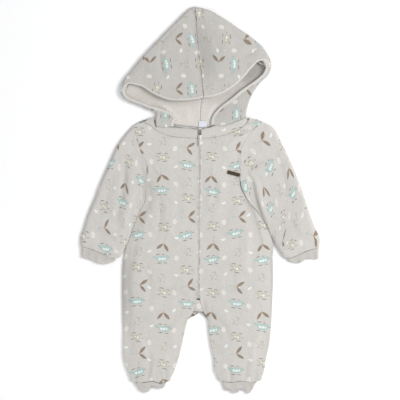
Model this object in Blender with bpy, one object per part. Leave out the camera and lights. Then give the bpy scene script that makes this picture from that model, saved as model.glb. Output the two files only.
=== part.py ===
"""Hooded baby overall, laid flat on its back with the hood spread above the neck.

The tables are in millimetres: x to the right as seen from above, y towards the hood,
z up from the surface that the overall lies on.  Blender gets metres.
Right and left in the names are the wearer's.
"""

import bmesh
import bpy
import numpy as np
from mathutils import Matrix

MM = 0.001

# Cloth: jersey with a soft brushed inside, one wall for each layer of the garment.
WALL = 3.0
SEAM_GAP = 0.9
LAYER_GAP = 0.4
BACK_TOP = WALL
FRONT_RISE = 2.2
FRONT_TOP = BACK_TOP + LAYER_GAP + FRONT_RISE + WALL
EDGE_ROUND = 2.2
GUSSET_RISE = 1.2
SEAM_ROUND = 0.6
RISE_WIDTH = 30.0
BAND_RISE_FROM = 6.0

# Hood: outer cloth and plush lining, one inside the other.
HOOD_WALL = 1.6
LINING_START = HOOD_WALL + 0.45
LINING_WALL = 1.8
HOOD_ROUND = 4.5

# Ribbed cuffs.
CUFF_WALL = 2.2
CUFF_START = 8.0
CUFF_TOP = 6.6
SLEEVE_TOP = FRONT_TOP

# Zip, slider and pull.
ZIP_TOP_X = -0.9
ZIP_TOP_Y = 128.0
ZIP_END_X = -3.4
ZIP_END_Y = -207.0
ZIP_TAPE_WIDTH = 2.9
ZIP_TAPE_GAP = 0.4
ZIP_TAPE_LOW = 5.0
ZIP_TAPE_TOP = 8.5
ZIP_TAPE_EDGE = 0.5
ZIP_TAPE_EDGE_DROP = 0.4
SLIDER_Y = 131.5
SLIDER_WIDTH = 7.6
SLIDER_LENGTH = 10.5
SLIDER_THICK = 2.2
SLIDER_BEVEL = 0.6
BRIDGE_INNER = 2.0
BRIDGE_THICK = 1.4
BRIDGE_WIDTH = 1.6
BRIDGE_STEPS = 10
BRIDGE_START = -0.05
BRIDGE_TURN = 1.1
PULL_AXIS_LIFT = 0.95
PULL_PIN_HALF = 0.45
PULL_HALF_THICK = 0.6
PULL_WINDOW_END = 4.2
PULL_WINDOW_HALF = 1.2
PULL_HALF_WIDTH = 2.5
PULL_TIP_HALF = 1.7
PULL_LENGTH = 17.0

# Plate on the wearer's left chest, and the plain label inside the neck.
PLATE_X = 70.5
PLATE_Y = 55.5
PLATE_LENGTH = 27.0
PLATE_WIDTH = 7.5
PLATE_THICK = 1.4
PLATE_TURN = -15.0
PLATE_BEVEL = 0.5
LABEL_X = 5.5
LABEL_Y = 159.6
LABEL_WIDTH = 17.0
LABEL_HEIGHT = 13.0
LABEL_LOW = LINING_START + LINING_WALL + 0.4
LABEL_THICK = 0.6

# Outer edge, inner edge and how far each is held up by the piece sewn to it (1) or free (0).
# out_x, out_y, in_x, in_y, out_join, in_join
FRONT_RIGHT = (
    (-118.5, 163.5, -4.2, 129.0, 0, 1),
    (-129.0, 161.0, -4.3, 123.0, 0, 1),
    (-138.5, 156.0, -4.4, 112.5, 0.5, 1),
    (-134.5, 137.5, -4.5, 100.0, 1, 1),
    (-129.0, 116.5, -4.6, 86.0, 1, 1),
    (-123.0, 97.5, -4.7, 72.5, 1, 1),
    (-113.5, 79.0, -4.8, 59.0, 1, 1),
    (-109.5, 66.0, -4.9, 47.0, 1, 1),
    (-111.0, 52.5, -4.9, 35.5, 1, 1),
    (-113.0, 39.0, -5.0, 23.0, 0.6, 1),
    (-114.0, 20.0, -5.1, 7.5, 0, 1),
    (-116.0, -1.0, -5.3, -9.5, 0, 1),
    (-126.0, -22.0, -5.4, -28.5, 0, 1),
    (-136.5, -47.0, -5.6, -51.5, 0, 1),
    (-147.0, -76.5, -5.8, -79.0, 0, 1),
    (-156.5, -102.0, -6.0, -103.0, 0, 1),
    (-161.5, -131.0, -6.2, -131.0, 0, 1),
    (-163.0, -171.0, -6.5, -169.0, 0, 1),
    (-163.0, -209.0, -6.8, -208.0, 0, 1),
    (-162.5, -234.0, -13.5, -233.0, 0, 0.6),
    (-162.0, -255.0, -25.5, -252.0, 0, 0),
    (-160.5, -278.0, -32.5, -277.0, 0, 0),
    (-160.5, -307.5, -39.0, -307.5, 0, 0),
    (-159.5, -333.0, -46.0, -335.0, 0, 0),
    (-152.0, -358.0, -54.0, -359.0, 0, 0),
    (-144.0, -379.0, -64.0, -379.0, 0, 0),
)

FRONT_RIGHT_NECK = (
    (-118.5, 163.5), (-104.0, 155.5), (-93.5, 148.0), (-79.0, 139.0), (-62.0, 133.5),
    (-34.5, 130.5), (-5.0, 129.0),
)

# out_x, out_y, in_x, in_y, out_join, in_join
FRONT_LEFT = (
    (104.0, 172.0, 2.5, 129.0, 0, 1),
    (117.5, 169.5, 2.4, 123.0, 0, 1),
    (129.0, 165.0, 2.3, 114.5, 0.5, 1),
    (117.5, 153.5, 2.3, 104.0, 1, 1),
    (102.0, 136.5, 2.2, 93.5, 1, 1),
    (91.5, 118.5, 2.1, 81.0, 1, 1),
    (86.0, 100.0, 2.0, 68.0, 1, 1),
    (84.5, 79.0, 1.9, 54.5, 1, 1),
    (84.0, 55.5, 1.8, 39.0, 1, 1),
    (85.5, 32.5, 1.7, 21.0, 1, 1),
    (94.5, 11.5, 1.5, 3.0, 1, 1),
    (107.0, -10.5, 1.4, -14.5, 1, 1),
    (122.0, -27.5, 1.3, -30.5, 0.6, 1),
    (134.5, -46.0, 1.1, -48.5, 0, 1),
    (145.0, -67.0, 1.0, -68.0, 0, 1),
    (153.0, -88.0, 0.8, -89.0, 0, 1),
    (153.0, -123.0, 0.6, -123.0, 0, 1),
    (153.5, -171.0, 0.2, -169.0, 0, 1),
    (152.0, -209.0, -0.1, -208.0, 0, 1),
    (151.0, -234.0, 8.5, -235.0, 0, 0.6),
    (150.0, -255.0, 16.5, -253.0, 0, 0),
    (148.0, -278.0, 19.0, -277.0, 0, 0),
    (144.5, -307.5, 23.5, -307.5, 0, 0),
    (138.5, -333.0, 29.0, -334.0, 0, 0),
    (135.0, -356.0, 31.0, -357.0, 0, 0),
    (128.0, -377.0, 39.0, -376.0, 0, 0),
)

FRONT_LEFT_NECK = (
    (104.0, 172.0), (98.5, 163.0), (81.0, 148.0), (55.5, 137.5), (30.5, 131.0), (2.5, 129.0),
)

# out_x, out_y, in_x, in_y
BACK_RIGHT = (
    (-104.0, 171.5, -0.5, 151.0),
    (-123.0, 167.0, -0.5, 142.0),
    (-139.0, 156.5, -0.5, 128.0),
    (-134.5, 137.5, -0.5, 100.0),
    (-129.0, 116.5, -0.5, 86.0),
    (-123.0, 97.5, -0.5, 72.5),
    (-113.5, 79.0, -0.5, 59.0),
    (-109.5, 66.0, -0.5, 47.0),
    (-111.0, 52.5, -0.5, 35.5),
    (-113.0, 39.0, -0.5, 23.0),
    (-114.0, 20.0, -0.5, 7.5),
    (-116.0, -1.0, -0.5, -9.5),
    (-126.0, -22.0, -0.5, -28.5),
    (-136.5, -47.0, -0.5, -51.5),
    (-147.0, -76.5, -0.5, -79.0),
    (-156.5, -102.0, -0.5, -103.0),
    (-161.5, -131.0, -0.5, -131.0),
    (-163.0, -171.0, -0.5, -169.0),
    (-163.0, -209.0, -0.5, -208.0),
    (-162.5, -234.0, -0.5, -235.5),
    (-162.0, -255.0, -25.5, -252.0),
    (-160.5, -278.0, -32.5, -277.0),
    (-160.5, -307.5, -39.0, -307.5),
    (-159.5, -333.0, -46.0, -335.0),
    (-152.0, -358.0, -54.0, -359.0),
    (-144.0, -379.0, -64.0, -379.0),
)

BACK_RIGHT_NECK = (
    (-104.0, 171.5), (-89.0, 167.5), (-66.0, 160.0), (-37.0, 153.5), (-0.5, 151.0),
)

# out_x, out_y, in_x, in_y
BACK_LEFT = (
    (103.0, 172.5, -0.5, 151.0),
    (116.5, 170.0, -0.5, 142.0),
    (130.0, 165.0, -0.5, 128.0),
    (117.5, 153.5, -0.5, 104.0),
    (102.0, 136.5, -0.5, 93.5),
    (91.5, 118.5, -0.5, 81.0),
    (86.0, 100.0, -0.5, 68.0),
    (84.5, 79.0, -0.5, 54.5),
    (84.0, 55.5, -0.5, 39.0),
    (85.5, 32.5, -0.5, 21.0),
    (94.5, 11.5, -0.5, 3.0),
    (107.0, -10.5, -0.5, -14.5),
    (122.0, -27.5, -0.5, -30.5),
    (134.5, -46.0, -0.5, -48.5),
    (145.0, -67.0, -0.5, -68.0),
    (153.0, -88.0, -0.5, -89.0),
    (153.0, -123.0, -0.5, -123.0),
    (153.5, -171.0, -0.5, -169.0),
    (152.0, -209.0, -0.5, -208.0),
    (151.0, -234.0, -0.5, -235.5),
    (150.0, -255.0, 16.5, -253.0),
    (148.0, -278.0, 19.0, -277.0),
    (144.5, -307.5, 23.5, -307.5),
    (138.5, -333.0, 29.0, -334.0),
    (135.0, -356.0, 31.0, -357.0),
    (128.0, -377.0, 39.0, -376.0),
)

BACK_LEFT_NECK = (
    (103.0, 172.5), (87.0, 165.0), (64.0, 158.0), (34.5, 152.5), (-0.5, 151.0),
)

# out_x, out_y, in_x, in_y
SLEEVE_RIGHT = (
    (-139.5, 156.5, -113.0, 39.0),
    (-158.5, 135.5, -114.0, 20.0),
    (-174.5, 112.5, -116.0, -1.0),
    (-188.0, 83.0, -126.0, -22.0),
    (-211.0, 30.5, -143.0, -64.0),
    (-220.5, 5.0, -148.0, -79.0),
    (-237.5, -37.0, -157.0, -100.0),
    (-244.0, -58.0, -160.5, -106.0),
    (-250.5, -77.5, -163.5, -112.5),
    (-250.5, -96.5, -168.0, -119.0),
)

SLEEVE_RIGHT_ARMHOLE = (
    (-139.5, 156.5), (-134.5, 137.5), (-129.0, 116.5), (-123.0, 97.5), (-113.5, 79.0),
    (-109.5, 66.0), (-111.0, 52.5), (-113.0, 39.0),
)

SLEEVE_RIGHT_WRIST = (
    (-250.5, -96.5), (-230.0, -103.0), (-207.0, -112.5), (-186.0, -121.5), (-176.5, -123.0),
    (-168.0, -119.0),
)

# out_x, out_y, in_x, in_y
SLEEVE_LEFT = (
    (130.0, 165.0, 107.0, -10.5),
    (153.5, 152.0, 122.0, -27.5),
    (169.0, 125.0, 134.5, -46.0),
    (183.0, 96.5, 145.0, -67.0),
    (205.0, 45.0, 157.5, -93.5),
    (214.0, 20.0, 161.5, -101.0),
    (231.5, -32.5, 168.5, -112.5),
    (241.5, -58.0, 171.5, -116.5),
    (251.5, -81.0, 175.0, -120.0),
    (250.5, -100.0, 179.5, -123.0),
)

SLEEVE_LEFT_ARMHOLE = (
    (130.0, 165.0), (117.5, 153.5), (102.0, 136.5), (91.5, 118.5), (86.0, 100.0), (84.5, 79.0),
    (84.0, 55.5), (85.5, 32.5), (94.5, 11.5), (107.0, -10.5),
)

SLEEVE_LEFT_WRIST = (
    (250.5, -100.0), (232.0, -105.0), (211.0, -113.0), (192.0, -121.0), (179.5, -123.0),
)

RIGHT_ANKLE = (
    (-144.0, -379.0), (-133.5, -384.0), (-116.5, -383.0), (-100.0, -380.5), (-83.0, -384.5),
    (-72.5, -383.0), (-64.0, -379.0),
)

LEFT_ANKLE = (
    (128.0, -377.0), (121.0, -381.0), (110.0, -383.0), (85.0, -380.5), (64.0, -383.0),
    (46.0, -380.0), (39.0, -376.0),
)

# fold_x, fold_y, rim_x, rim_y, back_x, back_y, fold_h, rim_h
HOOD_RIGHT_LIP = (
    (-93.0, 153.5, -55.5, 154.5, -0.5, 137.5, 8.6, 8.8),
    (-94.0, 164.0, -54.5, 161.5, 0.0, 146.0, 9.6, 10.0),
    (-93.5, 173.0, -51.5, 167.5, 0.0, 152.5, 9.8, 9.6),
    (-92.0, 179.0, -40.5, 168.5, 0.0, 160.0, 8.4, 8.6),
    (-92.5, 182.5, -52.5, 177.5, 0.0, 165.5, 10.2, 11.0),
    (-96.0, 186.0, -73.5, 189.0, 0.0, 171.5, 11.0, 12.0),
    (-109.0, 190.5, -104.5, 198.0, 0.5, 177.5, 11.0, 12.5),
    (-129.0, 198.5, -125.5, 206.0, 0.5, 185.0, 11.0, 12.5),
    (-146.0, 205.0, -142.0, 212.0, 1.0, 192.0, 11.0, 12.5),
    (-158.5, 211.5, -151.0, 216.5, 1.5, 199.5, 11.0, 12.0),
    (-165.5, 221.0, -157.0, 223.5, 2.0, 207.0, 11.0, 12.0),
)

# fold_x, fold_y, seam_x, seam_y, back_x, back_y, fold_h, seam_h
HOOD_RIGHT_CROWN = (
    (-168.0, 231.0, 7.0, 214.5, 2.5, 214.5, 11.0, 20.0),
    (-165.5, 241.5, 6.0, 226.0, 2.0, 226.0, 11.0, 20.0),
    (-141.0, 275.0, 1.5, 272.0, 1.0, 272.0, 11.0, 18.5),
    (-124.0, 296.0, -2.5, 299.0, -0.5, 299.0, 11.0, 17.5),
    (-82.0, 341.0, -8.0, 348.5, -3.5, 348.5, 11.0, 14.5),
    (-60.0, 363.5, -8.5, 368.5, -5.0, 368.5, 11.0, 13.0),
    (-26.0, 397.5, -9.5, 396.5, -8.0, 396.5, 10.6, 11.4),
    (-18.5, 404.0, -10.0, 405.0, -9.0, 405.0, 10.4, 10.8),
)

HOOD_RIGHT_HEM = (
    (-168.0, 231.0), (-159.0, 232.5), (-156.5, 239.0), (-149.0, 243.5), (-135.5, 241.5),
    (-118.5, 236.0), (-104.0, 226.0), (-93.5, 220.5), (-83.0, 215.5), (-66.0, 210.0),
    (-41.0, 208.5), (-16.0, 210.0), (7.0, 214.5),
)

HOOD_RIGHT_SEAM = (
    (-93.0, 153.5), (-79.0, 152.5), (-55.5, 154.5),
)
HOOD_RIGHT_NAPE = (
    (-93.5, 173.0), (-79.0, 166.5), (-58.0, 159.5), (-30.5, 155.0), (0.0, 152.0),
)

# fold_x, fold_y, rim_x, rim_y, back_x, back_y, fold_h, rim_h
HOOD_LEFT_LIP = (
    (95.5, 174.0, 22.0, 158.0, -0.5, 137.5, 9.6, 9.0),
    (97.0, 182.5, 23.5, 168.0, 0.0, 152.5, 10.4, 11.0),
    (99.0, 192.0, 27.5, 178.5, 0.0, 161.5, 11.0, 12.0),
    (102.0, 202.0, 35.5, 189.0, 0.0, 170.0, 11.0, 13.0),
    (106.0, 213.0, 48.0, 200.5, 0.5, 177.5, 11.0, 13.5),
    (112.5, 226.0, 65.0, 213.0, 0.5, 184.0, 11.0, 14.0),
    (121.0, 238.5, 85.5, 230.0, 1.0, 190.0, 11.0, 14.0),
    (131.0, 250.0, 106.5, 244.5, 1.5, 196.5, 12.0, 14.0),
    (142.0, 260.5, 123.5, 257.0, 1.5, 201.5, 13.5, 14.5),
    (148.0, 271.0, 132.5, 266.0, 2.0, 207.0, 14.5, 15.0),
    (150.0, 280.5, 137.5, 277.5, 2.0, 211.0, 15.0, 16.5),
)

# fold_x, fold_y, seam_x, seam_y, back_x, back_y, fold_h, seam_h
HOOD_LEFT_CROWN = (
    (149.0, 291.0, 8.0, 214.5, 2.5, 214.5, 15.0, 20.0),
    (146.0, 299.0, 7.0, 226.0, 2.0, 226.0, 15.0, 20.0),
    (140.5, 309.0, 5.0, 244.5, 1.5, 244.5, 14.0, 19.5),
    (132.0, 321.5, 2.5, 272.0, 1.0, 272.0, 13.0, 18.5),
    (118.5, 334.0, -2.0, 299.0, -0.5, 299.0, 12.0, 17.5),
    (102.0, 346.5, -5.0, 324.5, -1.5, 324.5, 11.5, 16.0),
    (83.0, 359.5, -7.0, 348.5, -3.5, 348.5, 11.0, 14.5),
    (39.0, 388.5, -8.5, 385.5, -6.5, 385.5, 11.0, 12.0),
    (18.0, 399.5, -9.0, 396.5, -8.0, 396.5, 10.6, 11.4),
    (3.0, 404.0, -9.0, 405.0, -9.0, 405.0, 10.4, 10.8),
)

HOOD_LEFT_HEM = (
    (149.0, 291.0), (132.5, 292.5), (123.0, 291.0), (114.5, 283.0), (104.0, 272.0), (95.5, 261.5),
    (85.0, 250.5), (74.5, 241.0), (64.0, 233.0), (51.5, 226.0), (39.0, 220.5), (24.0, 216.0),
    (8.0, 214.5),
)

HOOD_LEFT_SEAM = (
    (95.5, 174.0), (85.0, 169.0), (70.5, 163.0), (60.0, 158.5), (47.0, 155.5), (32.5, 156.0),
    (22.0, 158.0),
)
HOOD_LEFT_NAPE = (
    (96.5, 178.5), (81.0, 166.5), (60.0, 159.0), (30.5, 153.5), (0.0, 152.0),
)

# up_x, up_y, low_x, low_y
BAND_RIGHT = (
    (-104.0, 172.5, -118.0, 164.5),
    (-97.0, 170.5, -110.0, 160.0),
    (-96.0, 163.0, -103.0, 156.5),
    (-95.5, 157.0, -97.5, 152.0),
    (-93.0, 151.5, -89.5, 148.5),
    (-83.0, 151.5, -80.0, 142.0),
    (-66.0, 152.5, -65.0, 136.5),
    (-49.5, 152.0, -49.0, 133.0),
    (-28.5, 151.0, -28.0, 131.5),
    (-5.0, 148.0, -5.0, 130.5),
)

# up_x, up_y, low_x, low_y
BAND_LEFT = (
    (97.0, 172.0, 100.0, 166.5),
    (90.0, 170.0, 96.5, 162.5),
    (78.0, 164.5, 85.5, 155.5),
    (63.0, 157.5, 68.5, 146.0),
    (47.0, 153.0, 52.0, 139.5),
    (30.5, 154.0, 31.5, 134.5),
    (16.0, 152.0, 16.5, 131.0),
    (2.5, 148.0, 2.5, 130.5),
)

# up_x, up_y, low_x, low_y
CUFF_RIGHT = (
    (-248.5, -97.5, -178.5, -124.0),
    (-248.5, -109.0, -178.0, -127.0),
    (-248.5, -119.5, -179.0, -128.0),
)

CUFF_RIGHT_SEAM = (
    (-248.5, -97.5), (-230.0, -103.5), (-207.0, -113.0), (-188.0, -121.0), (-178.5, -124.0),
)

CUFF_RIGHT_END = (
    (-248.5, -119.5), (-230.0, -124.5), (-215.0, -131.0), (-200.5, -134.5), (-188.0, -132.0),
    (-179.0, -128.5),
)

# up_x, up_y, low_x, low_y
CUFF_LEFT = (
    (249.5, -100.5, 183.0, -123.0),
    (249.0, -113.0, 184.0, -126.0),
    (249.0, -124.0, 186.0, -127.0),
)

CUFF_LEFT_SEAM = (
    (249.5, -100.5), (232.0, -105.5), (211.0, -113.5), (192.0, -121.5), (183.0, -123.0),
)

CUFF_LEFT_END = (
    (249.0, -124.0), (221.5, -125.0), (215.0, -129.5), (210.0, -132.0), (202.5, -132.0),
    (192.0, -129.5), (186.0, -127.5),
)

# up_x, up_y, low_x, low_y
ANKLE_RIGHT = (
    (-136.5, -384.0, -71.5, -383.5),
    (-132.5, -390.5, -73.0, -388.5),
    (-128.0, -396.5, -75.5, -393.0),
)

ANKLE_RIGHT_SEAM = (
    (-136.5, -384.0), (-116.5, -384.0), (-100.0, -381.5), (-83.0, -385.5), (-71.5, -383.5),
)

ANKLE_RIGHT_END = (
    (-128.0, -396.5), (-121.0, -401.5), (-114.5, -404.0), (-109.5, -403.0), (-103.0, -394.5),
    (-97.5, -391.0), (-91.5, -393.5), (-83.0, -396.0), (-75.5, -393.0),
)

# up_x, up_y, low_x, low_y
ANKLE_LEFT = (
    (119.0, -382.0, 46.5, -381.0),
    (115.5, -387.5, 48.0, -388.5),
    (112.0, -392.5, 50.0, -396.0),
)

ANKLE_LEFT_SEAM = (
    (119.0, -382.0), (110.0, -383.0), (85.0, -381.0), (64.0, -383.5), (46.5, -381.0),
)

ANKLE_LEFT_END = (
    (112.0, -392.5), (108.0, -400.0), (104.0, -406.0), (95.5, -401.5), (85.0, -396.5),
    (79.0, -404.5), (70.5, -404.5), (64.0, -400.0), (55.5, -398.5), (50.0, -396.0),
)

# up_x, up_y, low_x, low_y
GUSSET = (
    (-7.5, -210.0, 0.5, -210.0),
    (-10.5, -221.5, 4.0, -221.5),
    (-13.5, -233.5, 8.0, -235.0),
)

# Where the points of a section stand: distances from its first end, shares of it, distances from its last end.
ACROSS_PANEL = ((0.0, 0.8, 3.0), (0.2, 0.4, 0.62, 0.82), (3.0, 0.8, 0.0))
ACROSS_BACK = ((0.0, 1.2), (0.5,), (1.2, 0.0))
ACROSS_TUBE = ((0.0, 1.0, 4.2), (4.2, 1.0, 0.0))
ACROSS_CUFF = ((0.0, 0.8, 2.6), (0.2, 0.35, 0.5, 0.65, 0.8), (2.6, 0.8, 0.0))
ACROSS_BAND = ((0.0, 1.0), (0.5,), (1.0, 0.0))

# Hood sections: shares of the rounding at the fold, and shares from the rim to the centre seam.
ROUND_SHARES = (0.0, 0.25, 1.0)
CROWN_SHARES = (0.2, 0.5, 1.0)
FLANGE_SHARES = (0.33, 0.67, 1.0)
ROUND_MOST = 0.5
RIM_MOST = 0.3
SHORTEST_RIM = 1.5
NAPE_ROW = 2
HEM_FADE_ROWS = 4.5
SEAM_FADE_ROWS = 2.5
UNDER_SHARES = (0.35, 0.7)
LEAST_FLANGE = 1.0
FINE = np.linspace(0.0, 1.0, 41)

# How fast the bend of a panel's curved end dies away down the panel.
BEND_FADE = 2.2
BEND_POWER = 1.5

# Flattened tubes: the height left clear inside, how the round at the side shrinks on the inner face,
# and the share of the full height from which the underside counts as flat.
LEAST_HOLLOW = 0.6
TUBE_ROUND_SHRINK = 0.4
FLAT_FROM = 0.999
FOLD_END_SHARE = 0.2

# Soft folds pressed into the cloth: a line from one point to another, depth and half width.
FOLDS = (
    (-139.0, 98.0, -163.0, -40.0, 1.2, 9.0),
    (103.0, 66.0, 121.0, -8.0, 1.6, 7.0),
    (60.0, 139.0, 104.0, 140.0, 0.8, 9.0),
    (-105.0, 60.0, -60.0, 10.0, 0.7, 12.0),
    (84.0, 30.0, 50.0, -20.0, 0.7, 12.0),
    (-60.0, -245.0, -120.0, -205.0, 0.9, 12.0),
    (60.0, -245.0, 118.0, -200.0, 0.9, 12.0),
    (-110.0, -375.0, -104.0, -335.0, 1.2, 6.0),
    (66.0, -375.0, 62.0, -340.0, 1.2, 6.0),
)


def clear_scene():
    for thing in list(bpy.data.objects):
        bpy.data.objects.remove(thing, do_unlink=True)


def make_material(name, colour, roughness, metallic=0.0):
    material = bpy.data.materials.new(name)
    material.use_nodes = True
    shader = material.node_tree.nodes["Principled BSDF"]
    shader.inputs["Base Color"].default_value = (*colour, 1.0)
    shader.inputs["Roughness"].default_value = roughness
    shader.inputs["Metallic"].default_value = metallic
    material.diffuse_color = (*colour, 1.0)
    return material


def smooth(share):
    share = np.clip(share, 0.0, 1.0)
    return share * share * (3.0 - 2.0 * share)


def rounding(distance, radius):
    """How far a surface drops at this distance from an edge rounded by the radius."""
    inside = np.clip(radius - np.asarray(distance, float), 0.0, radius)
    return radius - np.sqrt(radius * radius - inside * inside)


def lengths_along(points):
    steps = np.linalg.norm(np.diff(points, axis=0), axis=1)
    return np.concatenate([[0.0], np.cumsum(steps)])


def points_at(points, distances):
    """Points of the line at these distances along it."""
    along = lengths_along(points)
    return np.stack([np.interp(distances, along, points[:, axis]) for axis in range(2)], axis=1)


def stations(length, across, inset=0.0):
    """Distances across a section of this length, drawn in from both ends by the inset."""
    near, shares, far = across
    inner = length - 2.0 * inset
    places = [inset + d for d in near]
    places += [inset + share * inner for share in shares]
    places += [length - inset - d for d in far]
    return np.array(places)


def net(sections, across, first=None, last=None, trim=SEAM_GAP / 2.0, inset=0.0):
    """Plan points of a panel: a row for each section, bent to follow the first and last edges."""
    table = np.array(sections, float)
    starts = table[:, 0:2]
    ends = table[:, 2:4]
    count = len(table)
    rows = []
    bends = []
    for edge, row in ((first, 0), (last, count - 1)):
        if edge is None:
            bends.append(np.zeros((len(FINE), 2)))
            continue
        line = np.array(edge, float)
        along = lengths_along(line)
        curve = points_at(line, FINE * along[-1])
        straight = starts[row] + FINE[:, None] * (ends[row] - starts[row])
        bends.append(curve - straight)
    for row in range(count):
        share = row / (count - 1.0)
        straight = starts[row] + FINE[:, None] * (ends[row] - starts[row])
        fade_first = max(0.0, 1.0 - BEND_FADE * share) ** BEND_POWER
        fade_last = max(0.0, BEND_FADE * (share - 1.0) + 1.0) ** BEND_POWER
        rows.append(straight + bends[0] * fade_first + bends[1] * fade_last)
    rows = np.array(rows)
    rows[0] += trim_step(rows[1] - rows[0], trim)
    rows[-1] += trim_step(rows[-2] - rows[-1], trim)
    result = []
    for row in rows:
        length = lengths_along(row)[-1]
        result.append(points_at(row, stations(length - 2.0 * trim, across, inset) + trim))
    return np.array(result)


def trim_step(towards, distance):
    return towards / np.linalg.norm(towards, axis=1)[:, None] * distance


def distances_of(plan):
    """Distance of each point along its row, from the first end and from the last."""
    near = np.array([lengths_along(row) for row in plan])
    return near, near[:, -1:] - near


def fold_depth(plan):
    """How far the folds press down each point."""
    depth = np.zeros(plan.shape[:-1])
    for x0, y0, x1, y1, deep, width in FOLDS:
        start = np.array([x0, y0])
        line = np.array([x1, y1]) - start
        share = np.clip(((plan - start) @ line) / (line @ line), 0.0, 1.0)
        away = np.linalg.norm(plan - start - share[..., None] * line, axis=-1)
        taper = np.sqrt(np.clip(4.0 * share * (1.0 - share), 0.0, 1.0))
        taper = FOLD_END_SHARE + (1.0 - FOLD_END_SHARE) * taper
        depth += deep * taper * np.exp(-((away / width) ** 2))
    return depth


def lift(plan, heights):
    return np.concatenate([plan, np.asarray(heights, float)[..., None]], axis=-1)


def sheet(name, outer, inner, material, present=None, wrap=False):
    """One closed piece of cloth: two faces on the same net of points, with edges where the net ends."""
    rows, columns = outer.shape[:2]
    steps = columns if wrap else columns - 1
    if present is None:
        present = np.ones((rows - 1, steps), bool)
    shape = bmesh.new()
    faces = {}
    for side, points in (("outer", outer), ("inner", inner)):
        for r in range(rows):
            for c in range(columns):
                faces[side, r, c] = shape.verts.new(points[r, c] * MM)

    def filled(r, c):
        if wrap:
            c %= columns
        return 0 <= r < rows - 1 and 0 <= c < steps and bool(present[r, c])

    def quad(*keys):
        corners = []
        for key in keys:
            vert = faces[key]
            if vert not in corners:
                corners.append(vert)
        if len(corners) > 2:
            shape.faces.new(corners)

    for r in range(rows - 1):
        for c in range(steps):
            if not present[r, c]:
                continue
            d = (c + 1) % columns
            quad(("outer", r, c), ("outer", r, d), ("outer", r + 1, d), ("outer", r + 1, c))
            quad(("inner", r, c), ("inner", r + 1, c), ("inner", r + 1, d), ("inner", r, d))
            if not filled(r - 1, c):
                quad(("outer", r, c), ("inner", r, c), ("inner", r, d), ("outer", r, d))
            if not filled(r + 1, c):
                quad(("outer", r + 1, c), ("outer", r + 1, d), ("inner", r + 1, d), ("inner", r + 1, c))
            if not filled(r, c - 1):
                quad(("outer", r, c), ("outer", r + 1, c), ("inner", r + 1, c), ("inner", r, c))
            if not filled(r, c + 1):
                quad(("outer", r, d), ("inner", r, d), ("inner", r + 1, d), ("outer", r + 1, d))
    bmesh.ops.delete(shape, geom=[v for v in shape.verts if not v.link_faces], context="VERTS")
    return finish(name, shape, material)


def finish(name, shape, material):
    bmesh.ops.triangulate(shape, faces=shape.faces[:])
    bmesh.ops.recalc_face_normals(shape, faces=shape.faces[:])
    if shape.calc_volume(signed=True) < 0.0:
        bmesh.ops.reverse_faces(shape, faces=shape.faces[:])
    mesh = bpy.data.meshes.new(name)
    shape.to_mesh(mesh)
    shape.free()
    thing = bpy.data.objects.new(name, mesh)
    mesh.materials.append(material)
    bpy.context.scene.collection.objects.link(thing)
    return thing


def front_panel(name, table, neck, ankle, material):
    plan = net(table, ACROSS_PANEL, neck, ankle)
    joins = np.array(table, float)
    out_join = joins[:, 4:5]
    in_join = joins[:, 5:6]
    near, far = distances_of(plan)
    risen_out = out_join + (1.0 - out_join) * smooth(near / RISE_WIDTH)
    risen_in = in_join + (1.0 - in_join) * smooth(far / RISE_WIDTH)
    low = BACK_TOP + LAYER_GAP + np.maximum(FRONT_RISE * risen_out * risen_in - fold_depth(plan), 0.0)
    drop_out = (1.0 - out_join) * rounding(near, EDGE_ROUND) + out_join * rounding(near, SEAM_ROUND)
    drop_in = (1.0 - in_join) * rounding(far, EDGE_ROUND) + in_join * rounding(far, SEAM_ROUND)
    high = low + WALL - np.maximum(drop_out, drop_in)
    return sheet(name, lift(plan, high), lift(plan, low), material)


def back_panel(name, table, front, neck, ankle, material):
    plan = net(table, ACROSS_BACK, neck, ankle)
    joins = np.array(front, float)
    near, far = distances_of(plan)
    out_join = joins[:, 4:5]
    in_join = joins[:, 5:6]
    drop_out = (1.0 - out_join) * rounding(near, EDGE_ROUND)
    drop_in = (1.0 - in_join) * rounding(far, EDGE_ROUND)
    low = np.maximum(drop_out, drop_in)
    high = np.full_like(low, BACK_TOP)
    return sheet(name, lift(plan, low), lift(plan, high), material)


def loop(plan, low_plan, heights, inset, rounds):
    """Rows of closed loops: up over the top from the first end to the last, and back underneath."""
    near, far = distances_of(plan)
    middle = heights / 2.0
    edge = np.minimum(near, far)
    half = np.sqrt(np.clip(1.0 - (np.clip(rounds - edge, 0.0, rounds) / rounds) ** 2, 0.0, 1.0))
    top = middle + (heights / 2.0 - inset) * half
    bottom = middle - (heights / 2.0 - inset) * half
    bottom = np.where(half > FLAT_FROM, inset, bottom)
    upper = lift(plan, top)
    lower = lift(low_plan, bottom)
    return np.concatenate([upper, lower[:, -2:0:-1]], axis=1)


def across_seam(edge):
    """Stations that hold the seam's own points, so that two pieces sewn on it share them."""
    along = lengths_along(np.array(edge, float))
    return (ACROSS_TUBE[0], tuple(along[1:-1] / along[-1]), ACROSS_TUBE[1])


def tube(name, table, first, last, across, heights, wall, material, folds=False):
    """A flattened tube of cloth, such as a sleeve or a cuff, open at both ends."""
    loops = []
    for inset in (0.0, wall):
        plan = net(table, across, first, last, inset=inset)
        tall = np.repeat(np.asarray(heights, float)[:, None], plan.shape[1], axis=1)
        if folds:
            tall = tall - np.minimum(fold_depth(plan), tall - 2.0 * wall - LEAST_HOLLOW)
        loops.append(loop(plan, plan, tall, inset, heights[0] / 2.0 - TUBE_ROUND_SHRINK * inset))
    return sheet(name, loops[0], loops[1], material, wrap=True)


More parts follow.
